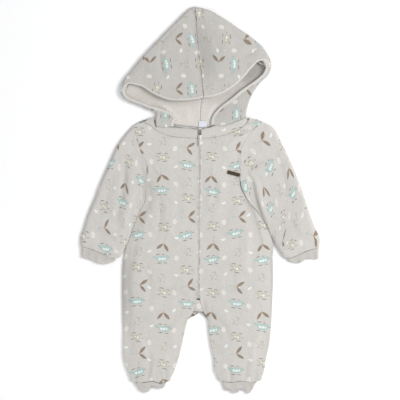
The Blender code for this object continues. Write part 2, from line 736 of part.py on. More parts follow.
def neck_band(name, table, material):
    """One end of the neck band, which rises from the shoulder to the level of the front."""
    plan = net(table, ACROSS_BAND)
    along = lengths_along(plan[:, 2])
    rise = FRONT_RISE * smooth((along + BAND_RISE_FROM) / RISE_WIDTH)[:, None]
    near, far = distances_of(plan)
    low = BACK_TOP + LAYER_GAP + np.repeat(rise, plan.shape[1], axis=1)
    drop = np.maximum(rounding(near, SEAM_ROUND), rounding(far, SEAM_ROUND))
    high = low + WALL - drop
    return sheet(name, lift(plan, high), lift(plan, low), material)


def bend_of(edge, start, end):
    """How far a curved edge stands off the straight line between its ends."""
    line = np.array(edge, float)
    curve = points_at(line, FINE * lengths_along(line)[-1])
    return curve - (start + FINE[:, None] * (end - start))


def inward_normals(folds, backs):
    """Unit vectors square to the line of the folds, towards the centre."""
    along = np.gradient(folds, axis=0)
    square = np.stack([along[:, 1], -along[:, 0]], axis=1)
    square /= np.linalg.norm(square, axis=1)[:, None]
    sign = np.sign(np.sum(square * (backs - folds)))
    return square * sign


def hood_top_rows(lip, crown, starts, seam, hem):
    """Plan lines of the upper layer, each from the fold at the side to the rim or to the centre seam."""
    ends = np.concatenate([lip[:, 2:4], crown[:, 2:4]])
    seam_bend = bend_of(seam, lip[0, 0:2], lip[0, 2:4])
    hem_bend = bend_of(hem, crown[0, 0:2], crown[0, 2:4])
    lines = []
    for index, (start, end) in enumerate(zip(starts, ends)):
        line = start + FINE[:, None] * (end - start)
        in_crown = index - len(lip)
        if in_crown >= 0:
            line = line + hem_bend * max(0.0, 1.0 - in_crown / HEM_FADE_ROWS) ** BEND_POWER
        else:
            line = line + seam_bend * max(0.0, 1.0 - index / SEAM_FADE_ROWS)
        lines.append(line)
    return lines


def hood_surface(lip, crown, seam, hem, nape, inset):
    """Points of one half of the hood: the under layer, round the fold, along the rim, to the centre seam."""
    lip = np.array(lip, float)
    crown = np.array(crown, float)
    backs = np.concatenate([lip[:, 4:6], crown[:, 4:6]])
    folds = np.concatenate([lip[:, 0:2], crown[:, 0:2]])
    folds = folds + inset * inward_normals(folds, backs)
    fold_heights = np.concatenate([lip[:, 6], crown[:, 6]])
    end_heights = np.concatenate([lip[:, 7], crown[:, 7]])
    rim_reach = float(np.linalg.norm(np.array(hem[1]) - np.array(hem[0])))
    points = []
    for index, top in enumerate(hood_top_rows(lip, crown, folds, seam, hem)):
        length = lengths_along(top)[-1]
        radius = min(HOOD_ROUND, ROUND_MOST * (length - SHORTEST_RIM))
        round_places = radius * np.array(ROUND_SHARES)
        end = length
        reach = length
        if index >= len(lip):
            reach = max(min(rim_reach, RIM_MOST * length), round_places[-1] + LEAST_FLANGE)
            end = length - SEAM_GAP / 2.0
        flange_places = round_places[-1] + np.array(FLANGE_SHARES) * (reach - round_places[-1])
        crown_places = reach + np.array(CROWN_SHARES) * (end - reach)
        places = np.concatenate([round_places, flange_places, crown_places])
        upper = points_at(top, places)
        under = np.array([backs[index], folds[index]])
        if index == NAPE_ROW:
            under = np.array(nape[::-1], float)
            under[-1] = folds[index]
        under_length = lengths_along(under)[-1]
        under_places = [SEAM_GAP * 0.7] + [under_length * share for share in UNDER_SHARES]
        under_places += [under_length - place for place in round_places[:0:-1]]
        lower = points_at(under, under_places)
        half_height = fold_heights[index] / 2.0
        rise = (end_heights[index] - fold_heights[index]) * np.sin(places / length * np.pi / 2.0)
        swell = np.sqrt(1.0 - (np.clip(radius - places, 0.0, radius) / radius) ** 2)
        top_z = half_height + (half_height + rise - inset) * swell
        sunk = np.ones(len(under_places))
        sunk[1 + len(UNDER_SHARES):] = swell[len(ROUND_SHARES) - 1:0:-1]
        low_z = half_height - (half_height - inset) * sunk
        points.append(np.concatenate([lift(lower, low_z), lift(upper, top_z)]))
    return np.array(points)


def hood_piece(name, half, insets, first_flange, first_under, material):
    """One half of the hood or of its lining, as a sheet that runs round the fold at its side."""
    faces = [hood_surface(*half, inset) for inset in insets]
    rows, columns = faces[0].shape[:2]
    present = np.zeros((rows - 1, columns - 1), bool)
    under_columns = len(UNDER_SHARES) + len(ROUND_SHARES)
    flange_end = under_columns + len(ROUND_SHARES) + len(FLANGE_SHARES) - 1
    present[first_flange:, under_columns:flange_end] = True
    present[first_under:, :under_columns] = True
    present[len(half[0]):, flange_end:] = True
    return sheet(name, faces[0], faces[1], material, present)


def box(name, size, centre, material, turn=0.0, bevel=0.0):
    shape = bmesh.new()
    bmesh.ops.create_cube(shape, size=1.0)
    bmesh.ops.scale(shape, vec=[s * MM for s in size], verts=shape.verts)
    if bevel:
        bmesh.ops.bevel(
            shape, geom=shape.edges[:], offset=bevel * MM, segments=2, profile=0.5, affect="EDGES"
        )
    bmesh.ops.rotate(shape, matrix=Matrix.Rotation(np.radians(turn), 3, "Z"), verts=shape.verts)
    bmesh.ops.translate(shape, vec=[c * MM for c in centre], verts=shape.verts)
    return finish(name, shape, material)


def zip_tape(name, side, material):
    """One side of the closed zip: a straight strip from the neck band down to the crotch."""
    inner = ZIP_TAPE_GAP / 2.0
    outside = inner + ZIP_TAPE_WIDTH
    across = [inner, inner + ZIP_TAPE_EDGE, outside - ZIP_TAPE_EDGE, outside]
    edge_top = ZIP_TAPE_TOP - ZIP_TAPE_EDGE_DROP
    tops = [edge_top, ZIP_TAPE_TOP, ZIP_TAPE_TOP, edge_top]
    outer = []
    under = []
    for y in (ZIP_TOP_Y, ZIP_END_Y):
        x = zip_centre(y)
        outer.append([(x + side * a, y, z) for a, z in zip(across, tops)])
        under.append([(x + side * a, y, ZIP_TAPE_LOW) for a in across])
    return sheet(name, np.array(outer), np.array(under), material)


def gusset(name, table, material):
    """The small piece let in between the legs, under the end of the zip."""
    plan = net(table, ACROSS_BAND)
    low = np.full(plan.shape[:2], BACK_TOP + LAYER_GAP + GUSSET_RISE)
    near, far = distances_of(plan)
    drop = np.maximum(rounding(near, SEAM_ROUND), rounding(far, SEAM_ROUND))
    high = low + WALL - drop
    high[-1] -= EDGE_ROUND / 2.0
    return sheet(name, lift(plan, high), lift(plan, low), material)


def slider_body(name, centre_y, low, material):
    """The slider: a rounded plate on the coil with a bridge that holds the pull."""
    x = zip_centre(centre_y)
    body = box(name, (SLIDER_WIDTH, SLIDER_LENGTH, SLIDER_THICK),
               (x, centre_y, low + SLIDER_THICK / 2.0), material, 0.0, SLIDER_BEVEL)
    base = low + SLIDER_THICK
    bridge_rows = []
    half = BRIDGE_WIDTH / 2.0
    for step in range(BRIDGE_STEPS + 1):
        angle = np.pi * (BRIDGE_TURN * step / BRIDGE_STEPS + BRIDGE_START)
        ring = []
        for radius, side in ((0.0, -half), (0.0, half), (BRIDGE_THICK, half), (BRIDGE_THICK, -half)):
            reach = BRIDGE_INNER + radius
            ring.append((x + side, centre_y + reach * np.cos(angle), base + reach * np.sin(angle)))
        bridge_rows.append(ring)
    rows = np.array(bridge_rows)
    shape = bmesh.new()
    verts = [[shape.verts.new(point * MM) for point in ring] for ring in rows]
    for ring, above in zip(verts, verts[1:]):
        for c in range(4):
            d = (c + 1) % 4
            shape.faces.new((ring[c], ring[d], above[d], above[c]))
    shape.faces.new(verts[0])
    shape.faces.new(verts[-1])
    bridge = finish(name + "_bridge_shape", shape, material)
    bridge.hide_render = True
    bridge.display_type = "WIRE"
    union = body.modifiers.new("bridge", "BOOLEAN")
    union.operation = "UNION"
    union.solver = "EXACT"
    union.object = bridge
    return body


def zip_centre(y):
    share = (ZIP_TOP_Y - y) / (ZIP_TOP_Y - ZIP_END_Y)
    return ZIP_TOP_X + (ZIP_END_X - ZIP_TOP_X) * share


def pull_tab(name, centre, material):
    """The pull, lying down along the zip, with its origin on the bar that turns in the bridge."""
    window = PULL_WINDOW_HALF
    wide = PULL_HALF_WIDTH
    # y, half width, half thickness
    rows = (
        (PULL_PIN_HALF, wide - 0.4, PULL_PIN_HALF),
        (-PULL_PIN_HALF, wide, PULL_PIN_HALF),
        (-PULL_WINDOW_END, wide, PULL_PIN_HALF),
        (-PULL_WINDOW_END - 0.8, wide, PULL_HALF_THICK),
        (-PULL_LENGTH + 2.0, wide, PULL_HALF_THICK),
        (-PULL_LENGTH + 0.6, PULL_TIP_HALF + 0.5, PULL_HALF_THICK),
        (-PULL_LENGTH, PULL_TIP_HALF, PULL_PIN_HALF),
    )
    top = []
    for y, half, thick in rows:
        top.append([(-half, y, thick), (-window, y, thick), (window, y, thick), (half, y, thick)])
    top = np.array(top)
    under = top * np.array([1.0, 1.0, -1.0])
    present = np.ones((len(rows) - 1, 3), bool)
    present[1, 1] = False
    thing = sheet(name, top, under, material, present)
    thing.location = [c * MM for c in centre]
    return thing


def main():
    clear_scene()
    jersey = make_material("grey_jersey", (0.61, 0.59, 0.56), 0.9)
    inside = make_material("brushed_inside", (0.74, 0.71, 0.66), 0.95)
    rib = make_material("grey_rib", (0.58, 0.56, 0.53), 0.9)
    plush = make_material("cream_plush", (0.82, 0.79, 0.73), 0.95)
    tape = make_material("zip_coil", (0.62, 0.6, 0.57), 0.6)
    white = make_material("label_satin", (0.86, 0.87, 0.92), 0.6)
    nickel = make_material("zip_metal", (0.55, 0.54, 0.52), 0.35, 1.0)
    dark = make_material("dark_metal", (0.09, 0.085, 0.08), 0.35, 1.0)

    front_panel("front_right", FRONT_RIGHT, FRONT_RIGHT_NECK, RIGHT_ANKLE, jersey)
    front_panel("front_left", FRONT_LEFT, FRONT_LEFT_NECK, LEFT_ANKLE, jersey)
    back_panel("back_right", BACK_RIGHT, FRONT_RIGHT, BACK_RIGHT_NECK, RIGHT_ANKLE, inside)
    back_panel("back_left", BACK_LEFT, FRONT_LEFT, BACK_LEFT_NECK, LEFT_ANKLE, inside)
    sleeve_heights = np.full(len(SLEEVE_RIGHT), SLEEVE_TOP)
    tube("sleeve_right", SLEEVE_RIGHT, SLEEVE_RIGHT_ARMHOLE, SLEEVE_RIGHT_WRIST, across_seam(SLEEVE_RIGHT_ARMHOLE),
         sleeve_heights, WALL, jersey, folds=True)
    tube("sleeve_left", SLEEVE_LEFT, SLEEVE_LEFT_ARMHOLE, SLEEVE_LEFT_WRIST, across_seam(SLEEVE_LEFT_ARMHOLE),
         sleeve_heights, WALL, jersey, folds=True)
    cuff_heights = (CUFF_START, CUFF_TOP, CUFF_TOP)
    tube("cuff_right", CUFF_RIGHT, CUFF_RIGHT_SEAM, CUFF_RIGHT_END, ACROSS_CUFF, cuff_heights, CUFF_WALL, rib)
    tube("cuff_left", CUFF_LEFT, CUFF_LEFT_SEAM, CUFF_LEFT_END, ACROSS_CUFF, cuff_heights, CUFF_WALL, rib)
    tube("ankle_right", ANKLE_RIGHT, ANKLE_RIGHT_SEAM, ANKLE_RIGHT_END, ACROSS_CUFF, cuff_heights, CUFF_WALL, rib)
    tube("ankle_left", ANKLE_LEFT, ANKLE_LEFT_SEAM, ANKLE_LEFT_END, ACROSS_CUFF, cuff_heights, CUFF_WALL, rib)
    neck_band("neck_band_right", BAND_RIGHT, jersey)
    neck_band("neck_band_left", BAND_LEFT, jersey)
    right_hood = (HOOD_RIGHT_LIP, HOOD_RIGHT_CROWN, HOOD_RIGHT_SEAM, HOOD_RIGHT_HEM, HOOD_RIGHT_NAPE)
    left_hood = (HOOD_LEFT_LIP, HOOD_LEFT_CROWN, HOOD_LEFT_SEAM, HOOD_LEFT_HEM, HOOD_LEFT_NAPE)
    outer_insets = (0.0, HOOD_WALL)
    lining_insets = (LINING_START, LINING_START + LINING_WALL)
    hood_piece("hood_right", right_hood, outer_insets, 0, 2, jersey)
    hood_piece("hood_left", left_hood, outer_insets, 0, 2, jersey)
    hood_piece("lining_right", right_hood, lining_insets, 3, 2, plush)
    hood_piece("lining_left", left_hood, lining_insets, 2, 2, plush)
    gusset("crotch_gusset", GUSSET, jersey)
    zip_tape("zip_right", -1.0, tape)
    zip_tape("zip_left", 1.0, tape)
    slider_low = ZIP_TAPE_TOP + LAYER_GAP
    slider_body("slider", SLIDER_Y, slider_low, nickel)
    pull_centre = (zip_centre(SLIDER_Y), SLIDER_Y, slider_low + SLIDER_THICK + PULL_AXIS_LIFT)
    pull_tab("pull_tab", pull_centre, nickel)
    box("label", (LABEL_WIDTH, LABEL_HEIGHT, LABEL_THICK),
        (LABEL_X, LABEL_Y, LABEL_LOW + LABEL_THICK / 2.0), white)
    plate_z = FRONT_TOP + LAYER_GAP + PLATE_THICK / 2.0
    box("chest_plate", (PLATE_LENGTH, PLATE_WIDTH, PLATE_THICK), (PLATE_X, PLATE_Y, plate_z),
        dark, PLATE_TURN, PLATE_BEVEL)


main()
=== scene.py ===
"""A hooded overall for a baby, laid flat on its back: jersey front, back and sleeves, a plush-lined hood,
rib cuffs, a front zip, a neck label and a small metal plate. Lengths in the tables are millimetres."""

import logging
import math
from collections.abc import Callable, Iterable, Sequence
from dataclasses import dataclass, field
from enum import Enum
from typing import Union

import bmesh
import bpy
import numpy as np
from mathutils import Matrix, Vector, noise
from mathutils.bvhtree import BVHTree


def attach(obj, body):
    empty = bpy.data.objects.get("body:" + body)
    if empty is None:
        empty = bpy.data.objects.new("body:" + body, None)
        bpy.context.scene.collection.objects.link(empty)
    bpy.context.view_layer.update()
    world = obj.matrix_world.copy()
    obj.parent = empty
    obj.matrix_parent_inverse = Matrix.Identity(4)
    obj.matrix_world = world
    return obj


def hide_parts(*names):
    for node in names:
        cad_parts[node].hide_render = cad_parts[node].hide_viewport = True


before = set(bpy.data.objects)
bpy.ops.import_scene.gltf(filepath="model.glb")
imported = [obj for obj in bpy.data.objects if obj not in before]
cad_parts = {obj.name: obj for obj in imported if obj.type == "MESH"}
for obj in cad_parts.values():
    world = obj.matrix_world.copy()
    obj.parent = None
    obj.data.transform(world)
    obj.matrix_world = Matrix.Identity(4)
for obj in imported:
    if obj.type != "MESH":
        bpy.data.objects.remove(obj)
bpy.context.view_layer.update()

LOG = logging.getLogger("overall")
Array = np.ndarray
Table = Sequence[Sequence[float]]
Material = bpy.types.Material
Socket = bpy.types.NodeSocket
Cloth = bmesh.types.BMesh
Colour = tuple[float, float, float, float]
Bead = tuple[float, float, float, float]
MM = 0.001
CUT_MAP = "cut"
# The mark of how deep the creases press each point. The finishes darken the colour by it as painted shade in
# a trough, and lighten it as painted highlight where a ridge lifts the cloth.
TROUGH_SHADE = "trough"
HEM = "hem"

BACK_TOP = 3.0
FRONT_RISE = 2.2
FRONT_TOP = 8.6
RISE_WIDTH = 30.0
JERSEY_WALL = 1.1
SEAM_GAP = 0.1
ZIP_LOW_Y = -207.0
BACK_SEAM_X = -0.5
RIB_PITCH = 2.5
# Roughly how wide the hood's crown is at its first row.
FIRST_CROWN_ROW = 170.0
# Spaces round a quarter turn of a fold, and of a rolled hem.
QUARTER_SPACES = 6
ROLL_SPACES = 4


class Body(Enum):
    """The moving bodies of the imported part."""

    GARMENT = "garment"
    PULL = "pull"


class Slot(Enum):
    """The record's material slots."""

    JERSEY = "jersey"
    RIB = "rib"
    PLUSH = "plush"
    ZIP_TAPE = "zip_tape"
    ZIP_METAL = "zip_metal"
    LABEL = "label"
    PLATE_METAL = "plate_metal"


class Hold(Enum):
    """How a sheet of cloth lies."""

    LAID = "laid"
    FOLDED = "folded"
    GATHERED = "gathered"


# Outer edge, inner edge and how far each is held up by the piece sewn to it (1) or free (0).
# out_x, out_y, in_x, in_y, out_join, in_join
FRONT_RIGHT = (
    (-118.5, 163.5, -4.2, 129.0, 0, 1),
    (-129.0, 161.0, -4.3, 123.0, 0, 1),
    (-138.5, 156.0, -4.4, 112.5, 0.5, 1),
    (-134.5, 137.5, -4.5, 100.0, 1, 1),
    (-129.0, 116.5, -4.6, 86.0, 1, 1),
    (-123.0, 97.5, -4.7, 72.5, 1, 1),
    (-113.5, 79.0, -4.8, 59.0, 1, 1),
    (-109.5, 66.0, -4.9, 47.0, 1, 1),
    (-111.0, 52.5, -4.9, 35.5, 1, 1),
    (-113.0, 39.0, -5.0, 23.0, 0.6, 1),
    (-114.0, 20.0, -5.1, 7.5, 0, 1),
    (-116.0, -1.0, -5.3, -9.5, 0, 1),
    (-126.0, -22.0, -5.4, -28.5, 0, 1),
    (-136.5, -47.0, -5.6, -51.5, 0, 1),
    (-147.0, -76.5, -5.8, -79.0, 0, 1),
    (-156.5, -102.0, -6.0, -103.0, 0, 1),
    (-161.5, -131.0, -6.2, -131.0, 0, 1),
    (-163.0, -171.0, -6.5, -169.0, 0, 1),
    (-163.0, -209.0, -6.8, -208.0, 0, 1),
    (-162.5, -234.0, -13.5, -233.0, 0, 0.6),
    (-162.0, -255.0, -25.5, -252.0, 0, 0),
    (-160.5, -278.0, -32.5, -277.0, 0, 0),
    (-160.5, -307.5, -39.0, -307.5, 0, 0),
    (-159.5, -333.0, -46.0, -335.0, 0, 0),
    (-152.0, -358.0, -54.0, -359.0, 0, 0),
    (-144.0, -379.0, -64.0, -379.0, 0, 0),
)

FRONT_RIGHT_NECK = (
    (-118.5, 163.5), (-104.0, 155.5), (-93.5, 148.0), (-79.0, 139.0), (-62.0, 133.5),
    (-34.5, 130.5), (-5.0, 129.0),
)

# out_x, out_y, in_x, in_y, out_join, in_join
FRONT_LEFT = (
    (104.0, 172.0, 2.5, 129.0, 0, 1),
    (117.5, 169.5, 2.4, 123.0, 0, 1),
    (129.0, 165.0, 2.3, 114.5, 0.5, 1),
    (117.5, 153.5, 2.3, 104.0, 1, 1),
    (102.0, 136.5, 2.2, 93.5, 1, 1),
    (91.5, 118.5, 2.1, 81.0, 1, 1),
    (86.0, 100.0, 2.0, 68.0, 1, 1),
    (84.5, 79.0, 1.9, 54.5, 1, 1),
    (84.0, 55.5, 1.8, 39.0, 1, 1),
    (85.5, 32.5, 1.7, 21.0, 1, 1),
    (94.5, 11.5, 1.5, 3.0, 1, 1),
    (107.0, -10.5, 1.4, -14.5, 1, 1),
    (122.0, -27.5, 1.3, -30.5, 0.6, 1),
    (134.5, -46.0, 1.1, -48.5, 0, 1),
    (145.0, -67.0, 1.0, -68.0, 0, 1),
    (153.0, -88.0, 0.8, -89.0, 0, 1),
    (153.0, -123.0, 0.6, -123.0, 0, 1),
    (153.5, -171.0, 0.2, -169.0, 0, 1),
    (152.0, -209.0, -0.1, -208.0, 0, 1),
    (151.0, -234.0, 8.5, -235.0, 0, 0.6),
    (150.0, -255.0, 16.5, -253.0, 0, 0),
    (148.0, -278.0, 19.0, -277.0, 0, 0),
    (144.5, -307.5, 23.5, -307.5, 0, 0),
    (138.5, -333.0, 29.0, -334.0, 0, 0),
    (135.0, -356.0, 31.0, -357.0, 0, 0),
    (128.0, -377.0, 39.0, -376.0, 0, 0),
)

FRONT_LEFT_NECK = (
    (104.0, 172.0), (98.5, 163.0), (81.0, 148.0), (55.5, 137.5), (30.5, 131.0), (2.5, 129.0),
)

def joined_rows(rows: Table) -> list[tuple[float, ...]]:
    """Return the back's rows beside these rows of the front, drawn in to the seam down its centre."""
    return [(*row[:2], BACK_SEAM_X, row[3]) for row in rows]


# out_x, out_y, in_x, in_y
BACK_RIGHT = (
    (-104.0, 171.5, -0.5, 151.0),
    (-123.0, 167.0, -0.5, 142.0),
    (-139.0, 156.5, -0.5, 128.0),
    *joined_rows(FRONT_RIGHT[3:19]),
    (-162.5, -234.0, -0.5, -235.5),
    *(row[:4] for row in FRONT_RIGHT[20:]),
)

BACK_RIGHT_NECK = (
    (-104.0, 171.5), (-89.0, 167.5), (-66.0, 160.0), (-37.0, 153.5), (-0.5, 151.0),
)

# out_x, out_y, in_x, in_y
BACK_LEFT = (
    (103.0, 172.5, -0.5, 151.0),
    (116.5, 170.0, -0.5, 142.0),
    (130.0, 165.0, -0.5, 128.0),
    *joined_rows(FRONT_LEFT[3:19]),
    (151.0, -234.0, -0.5, -235.5),
    *(row[:4] for row in FRONT_LEFT[20:]),
)

BACK_LEFT_NECK = (
    (103.0, 172.5), (87.0, 165.0), (64.0, 158.0), (34.5, 152.5), (-0.5, 151.0),
)

# out_x, out_y, in_x, in_y
SLEEVE_RIGHT = (
    (-139.5, 156.5, -113.0, 39.0),
    (-158.5, 135.5, -114.0, 20.0),
    (-174.5, 112.5, -116.0, -1.0),
    (-188.0, 83.0, -126.0, -22.0),
    (-211.0, 30.5, -143.0, -64.0),
    (-220.5, 5.0, -148.0, -79.0),
    (-237.5, -37.0, -157.0, -100.0),
    (-244.0, -58.0, -160.5, -106.0),
    (-250.5, -77.5, -163.5, -112.5),
    (-250.5, -96.5, -168.0, -119.0),
)

SLEEVE_RIGHT_ARMHOLE = (
    (-139.5, 156.5), (-134.5, 137.5), (-129.0, 116.5), (-123.0, 97.5), (-113.5, 79.0),
    (-109.5, 66.0), (-111.0, 52.5), (-113.0, 39.0),
)

SLEEVE_RIGHT_WRIST = (
    (-250.5, -96.5), (-230.0, -103.0), (-207.0, -112.5), (-186.0, -121.5), (-176.5, -123.0),
    (-168.0, -119.0),
)

# out_x, out_y, in_x, in_y
SLEEVE_LEFT = (
    (130.0, 165.0, 107.0, -10.5),
    (153.5, 152.0, 122.0, -27.5),
    (169.0, 125.0, 134.5, -46.0),
    (183.0, 96.5, 145.0, -67.0),
    (205.0, 45.0, 157.5, -93.5),
    (214.0, 20.0, 161.5, -101.0),
    (231.5, -32.5, 168.5, -112.5),
    (241.5, -58.0, 171.5, -116.5),
    (251.5, -81.0, 175.0, -120.0),
    (250.5, -100.0, 179.5, -123.0),
)

SLEEVE_LEFT_ARMHOLE = (
    (130.0, 165.0), (117.5, 153.5), (102.0, 136.5), (91.5, 118.5), (86.0, 100.0), (84.5, 79.0),
    (84.0, 55.5), (85.5, 32.5), (94.5, 11.5), (107.0, -10.5),
)

SLEEVE_LEFT_WRIST = (
    (250.5, -100.0), (232.0, -105.0), (211.0, -113.0), (192.0, -121.0), (179.5, -123.0),
)

RIGHT_ANKLE = (
    (-144.0, -379.0), (-133.5, -384.0), (-116.5, -383.0), (-100.0, -380.5), (-83.0, -384.5),
    (-72.5, -383.0), (-64.0, -379.0),
)

LEFT_ANKLE = (
    (128.0, -377.0), (121.0, -381.0), (110.0, -383.0), (85.0, -380.5), (64.0, -383.0),
    (46.0, -380.0), (39.0, -376.0),
)

# fold_x, fold_y, rim_x, rim_y, back_x, back_y, fold_h, rim_h
HOOD_RIGHT_LIP = (
    (-93.0, 153.5, -55.5, 154.5, -0.5, 137.5, 8.6, 8.8),
    (-94.0, 164.0, -54.5, 161.5, 0.0, 146.0, 9.6, 10.0),
    (-93.5, 173.0, -51.5, 167.5, 0.0, 152.5, 9.8, 9.6),
    (-92.0, 179.0, -46.5, 168.8, 0.0, 160.0, 8.4, 8.6),
    (-92.5, 182.5, -52.5, 177.5, 0.0, 165.5, 10.2, 11.0),
    (-96.0, 186.0, -73.5, 189.0, 0.0, 171.5, 11.0, 12.0),
    (-109.0, 190.5, -104.5, 198.0, 0.5, 177.5, 11.0, 12.5),
    (-129.0, 198.5, -125.5, 206.0, 0.5, 185.0, 11.0, 12.5),
    (-146.0, 205.0, -142.0, 212.0, 1.0, 192.0, 11.0, 12.5),
    (-158.5, 211.5, -151.0, 216.5, 1.5, 199.5, 11.0, 12.0),
    (-165.5, 221.0, -157.0, 223.5, 2.0, 207.0, 11.0, 12.0),
)

# fold_x, fold_y, seam_x, seam_y, back_x, back_y, fold_h, seam_h
HOOD_RIGHT_CROWN = (
    (-168.0, 231.0, 7.0, 214.5, 2.5, 214.5, 11.0, 20.0),
    (-165.5, 241.5, 6.0, 226.0, 2.0, 226.0, 11.0, 20.0),
    (-141.0, 275.0, 1.5, 272.0, 1.0, 272.0, 11.0, 18.5),
    (-124.0, 296.0, -2.5, 299.0, -0.5, 299.0, 11.0, 17.5),
    (-82.0, 341.0, -8.0, 348.5, -3.5, 348.5, 11.0, 14.5),
    (-60.0, 363.5, -8.5, 368.5, -5.0, 368.5, 11.0, 13.0),
    (-26.0, 397.5, -9.5, 396.5, -8.0, 396.5, 10.6, 11.4),
    (-18.5, 404.0, -10.0, 405.0, -9.0, 405.0, 10.4, 10.8),
)

HOOD_RIGHT_HEM = (
    (-168.0, 231.0), (-159.0, 232.5), (-156.5, 239.0), (-149.0, 243.5), (-135.5, 241.5),
    (-118.5, 236.0), (-104.0, 226.0), (-93.5, 220.5), (-83.0, 215.5), (-66.0, 210.0),
    (-41.0, 208.5), (-16.0, 210.0), (7.0, 214.5),
)

HOOD_RIGHT_SEAM = (
    (-93.0, 153.5), (-79.0, 152.5), (-55.5, 154.5),
)
HOOD_RIGHT_NAPE = (
    (-93.5, 173.0), (-79.0, 166.5), (-58.0, 159.5), (-30.5, 155.0), (0.0, 152.0),
)

# fold_x, fold_y, rim_x, rim_y, back_x, back_y, fold_h, rim_h
HOOD_LEFT_LIP = (
    (95.5, 174.0, 22.0, 158.0, -0.5, 137.5, 9.6, 9.0),
    (97.0, 182.5, 23.5, 168.0, 0.0, 152.5, 10.4, 11.0),
    (99.0, 192.0, 27.5, 178.5, 0.0, 161.5, 11.0, 12.0),
    (102.0, 202.0, 35.5, 189.0, 0.0, 170.0, 11.0, 13.0),
    (106.0, 213.0, 48.0, 200.5, 0.5, 177.5, 11.0, 13.5),
    (112.5, 226.0, 65.0, 213.0, 0.5, 184.0, 11.0, 14.0),
    (121.0, 238.5, 85.5, 230.0, 1.0, 190.0, 11.0, 14.0),
    (131.0, 250.0, 106.5, 244.5, 1.5, 196.5, 12.0, 14.0),
    (142.0, 260.5, 123.5, 257.0, 1.5, 201.5, 13.5, 14.5),
    (148.0, 271.0, 132.5, 266.0, 2.0, 207.0, 14.5, 15.0),
    (150.0, 280.5, 137.5, 277.5, 2.0, 211.0, 15.0, 16.5),
)

# fold_x, fold_y, seam_x, seam_y, back_x, back_y, fold_h, seam_h
HOOD_LEFT_CROWN = (
    (149.0, 291.0, 8.0, 214.5, 2.5, 214.5, 15.0, 20.0),
    (146.0, 299.0, 7.0, 226.0, 2.0, 226.0, 15.0, 20.0),
    (140.5, 309.0, 5.0, 244.5, 1.5, 244.5, 14.0, 19.5),
    (132.0, 321.5, 2.5, 272.0, 1.0, 272.0, 13.0, 18.5),
    (118.5, 334.0, -2.0, 299.0, -0.5, 299.0, 12.0, 17.5),
    (102.0, 346.5, -5.0, 324.5, -1.5, 324.5, 11.5, 16.0),
    (83.0, 359.5, -7.0, 348.5, -3.5, 348.5, 11.0, 14.5),
    (39.0, 388.5, -8.5, 385.5, -6.5, 385.5, 11.0, 12.0),
    (18.0, 399.5, -9.0, 396.5, -8.0, 396.5, 10.6, 11.4),
    (3.0, 404.0, -9.0, 405.0, -9.0, 405.0, 10.4, 10.8),
)

HOOD_LEFT_HEM = (
    (149.0, 291.0), (132.5, 292.5), (123.0, 291.0), (114.5, 283.0), (104.0, 272.0), (95.5, 261.5),
    (85.0, 250.5), (74.5, 241.0), (64.0, 233.0), (51.5, 226.0), (39.0, 220.5), (24.0, 216.0),
    (8.0, 214.5),
)

HOOD_LEFT_SEAM = (
    (95.5, 174.0), (85.0, 169.0), (70.5, 163.0), (60.0, 158.5), (47.0, 155.5), (32.5, 156.0),
    (22.0, 158.0),
)
HOOD_LEFT_NAPE = (
    (96.5, 178.5), (81.0, 166.5), (60.0, 159.0), (30.5, 153.5), (0.0, 152.0),
)

# up_x, up_y, low_x, low_y
BAND_RIGHT = (
    (-104.0, 172.5, -118.0, 164.5),
    (-97.0, 170.5, -110.0, 160.0),
    (-96.0, 163.0, -103.0, 156.5),
    (-95.5, 157.0, -97.5, 152.0),
    (-93.0, 151.5, -89.5, 148.5),
    (-83.0, 151.5, -80.0, 142.0),
    (-66.0, 152.5, -65.0, 136.5),
    (-49.5, 152.0, -49.0, 133.0),
    (-28.5, 151.0, -28.0, 131.5),
    (-5.0, 148.0, -5.0, 130.5),
)

# up_x, up_y, low_x, low_y
BAND_LEFT = (
    (97.0, 172.0, 100.0, 166.5),
    (90.0, 170.0, 96.5, 162.5),
    (78.0, 164.5, 85.5, 155.5),
    (63.0, 157.5, 68.5, 146.0),
    (47.0, 153.0, 52.0, 139.5),
    (30.5, 154.0, 31.5, 134.5),
    (16.0, 152.0, 16.5, 131.0),
    (2.5, 148.0, 2.5, 130.5),
)

# up_x, up_y, low_x, low_y
CUFF_RIGHT = (
    (-248.5, -97.5, -178.5, -124.0),
    (-248.5, -109.0, -178.0, -127.0),
    (-248.5, -119.5, -179.0, -128.0),
)

CUFF_RIGHT_SEAM = (
    (-248.5, -97.5), (-230.0, -103.5), (-207.0, -113.0), (-188.0, -121.0), (-178.5, -124.0),
)

CUFF_RIGHT_END = (
    (-248.5, -119.5), (-230.0, -124.5), (-215.0, -131.0), (-200.5, -134.5), (-188.0, -132.0),
    (-179.0, -128.5),
)

# up_x, up_y, low_x, low_y
CUFF_LEFT = (
    (249.5, -100.5, 183.0, -123.0),
    (249.0, -113.0, 184.0, -126.0),
    (249.0, -124.0, 186.0, -127.0),
)

CUFF_LEFT_SEAM = (
    (249.5, -100.5), (232.0, -105.5), (211.0, -113.5), (192.0, -121.5), (183.0, -123.0),
)

CUFF_LEFT_END = (
    (249.0, -124.0), (221.5, -125.0), (215.0, -129.5), (210.0, -132.0), (202.5, -132.0),
    (192.0, -129.5), (186.0, -127.5),
)

# up_x, up_y, low_x, low_y
ANKLE_RIGHT = (
    (-136.5, -384.0, -71.5, -383.5),
    (-132.5, -390.5, -73.0, -388.5),
    (-128.0, -396.5, -75.5, -393.0),
)

ANKLE_RIGHT_SEAM = (
    (-136.5, -384.0), (-116.5, -384.0), (-100.0, -381.5), (-83.0, -385.5), (-71.5, -383.5),
)

ANKLE_RIGHT_END = (
    (-128.0, -396.5), (-121.0, -401.5), (-114.5, -404.0), (-109.5, -403.0), (-103.0, -394.5),
    (-97.5, -391.0), (-91.5, -393.5), (-83.0, -396.0), (-75.5, -393.0),
)

# up_x, up_y, low_x, low_y
ANKLE_LEFT = (
    (119.0, -382.0, 46.5, -381.0),
    (115.5, -387.5, 48.0, -388.5),
    (112.0, -392.5, 50.0, -396.0),
)

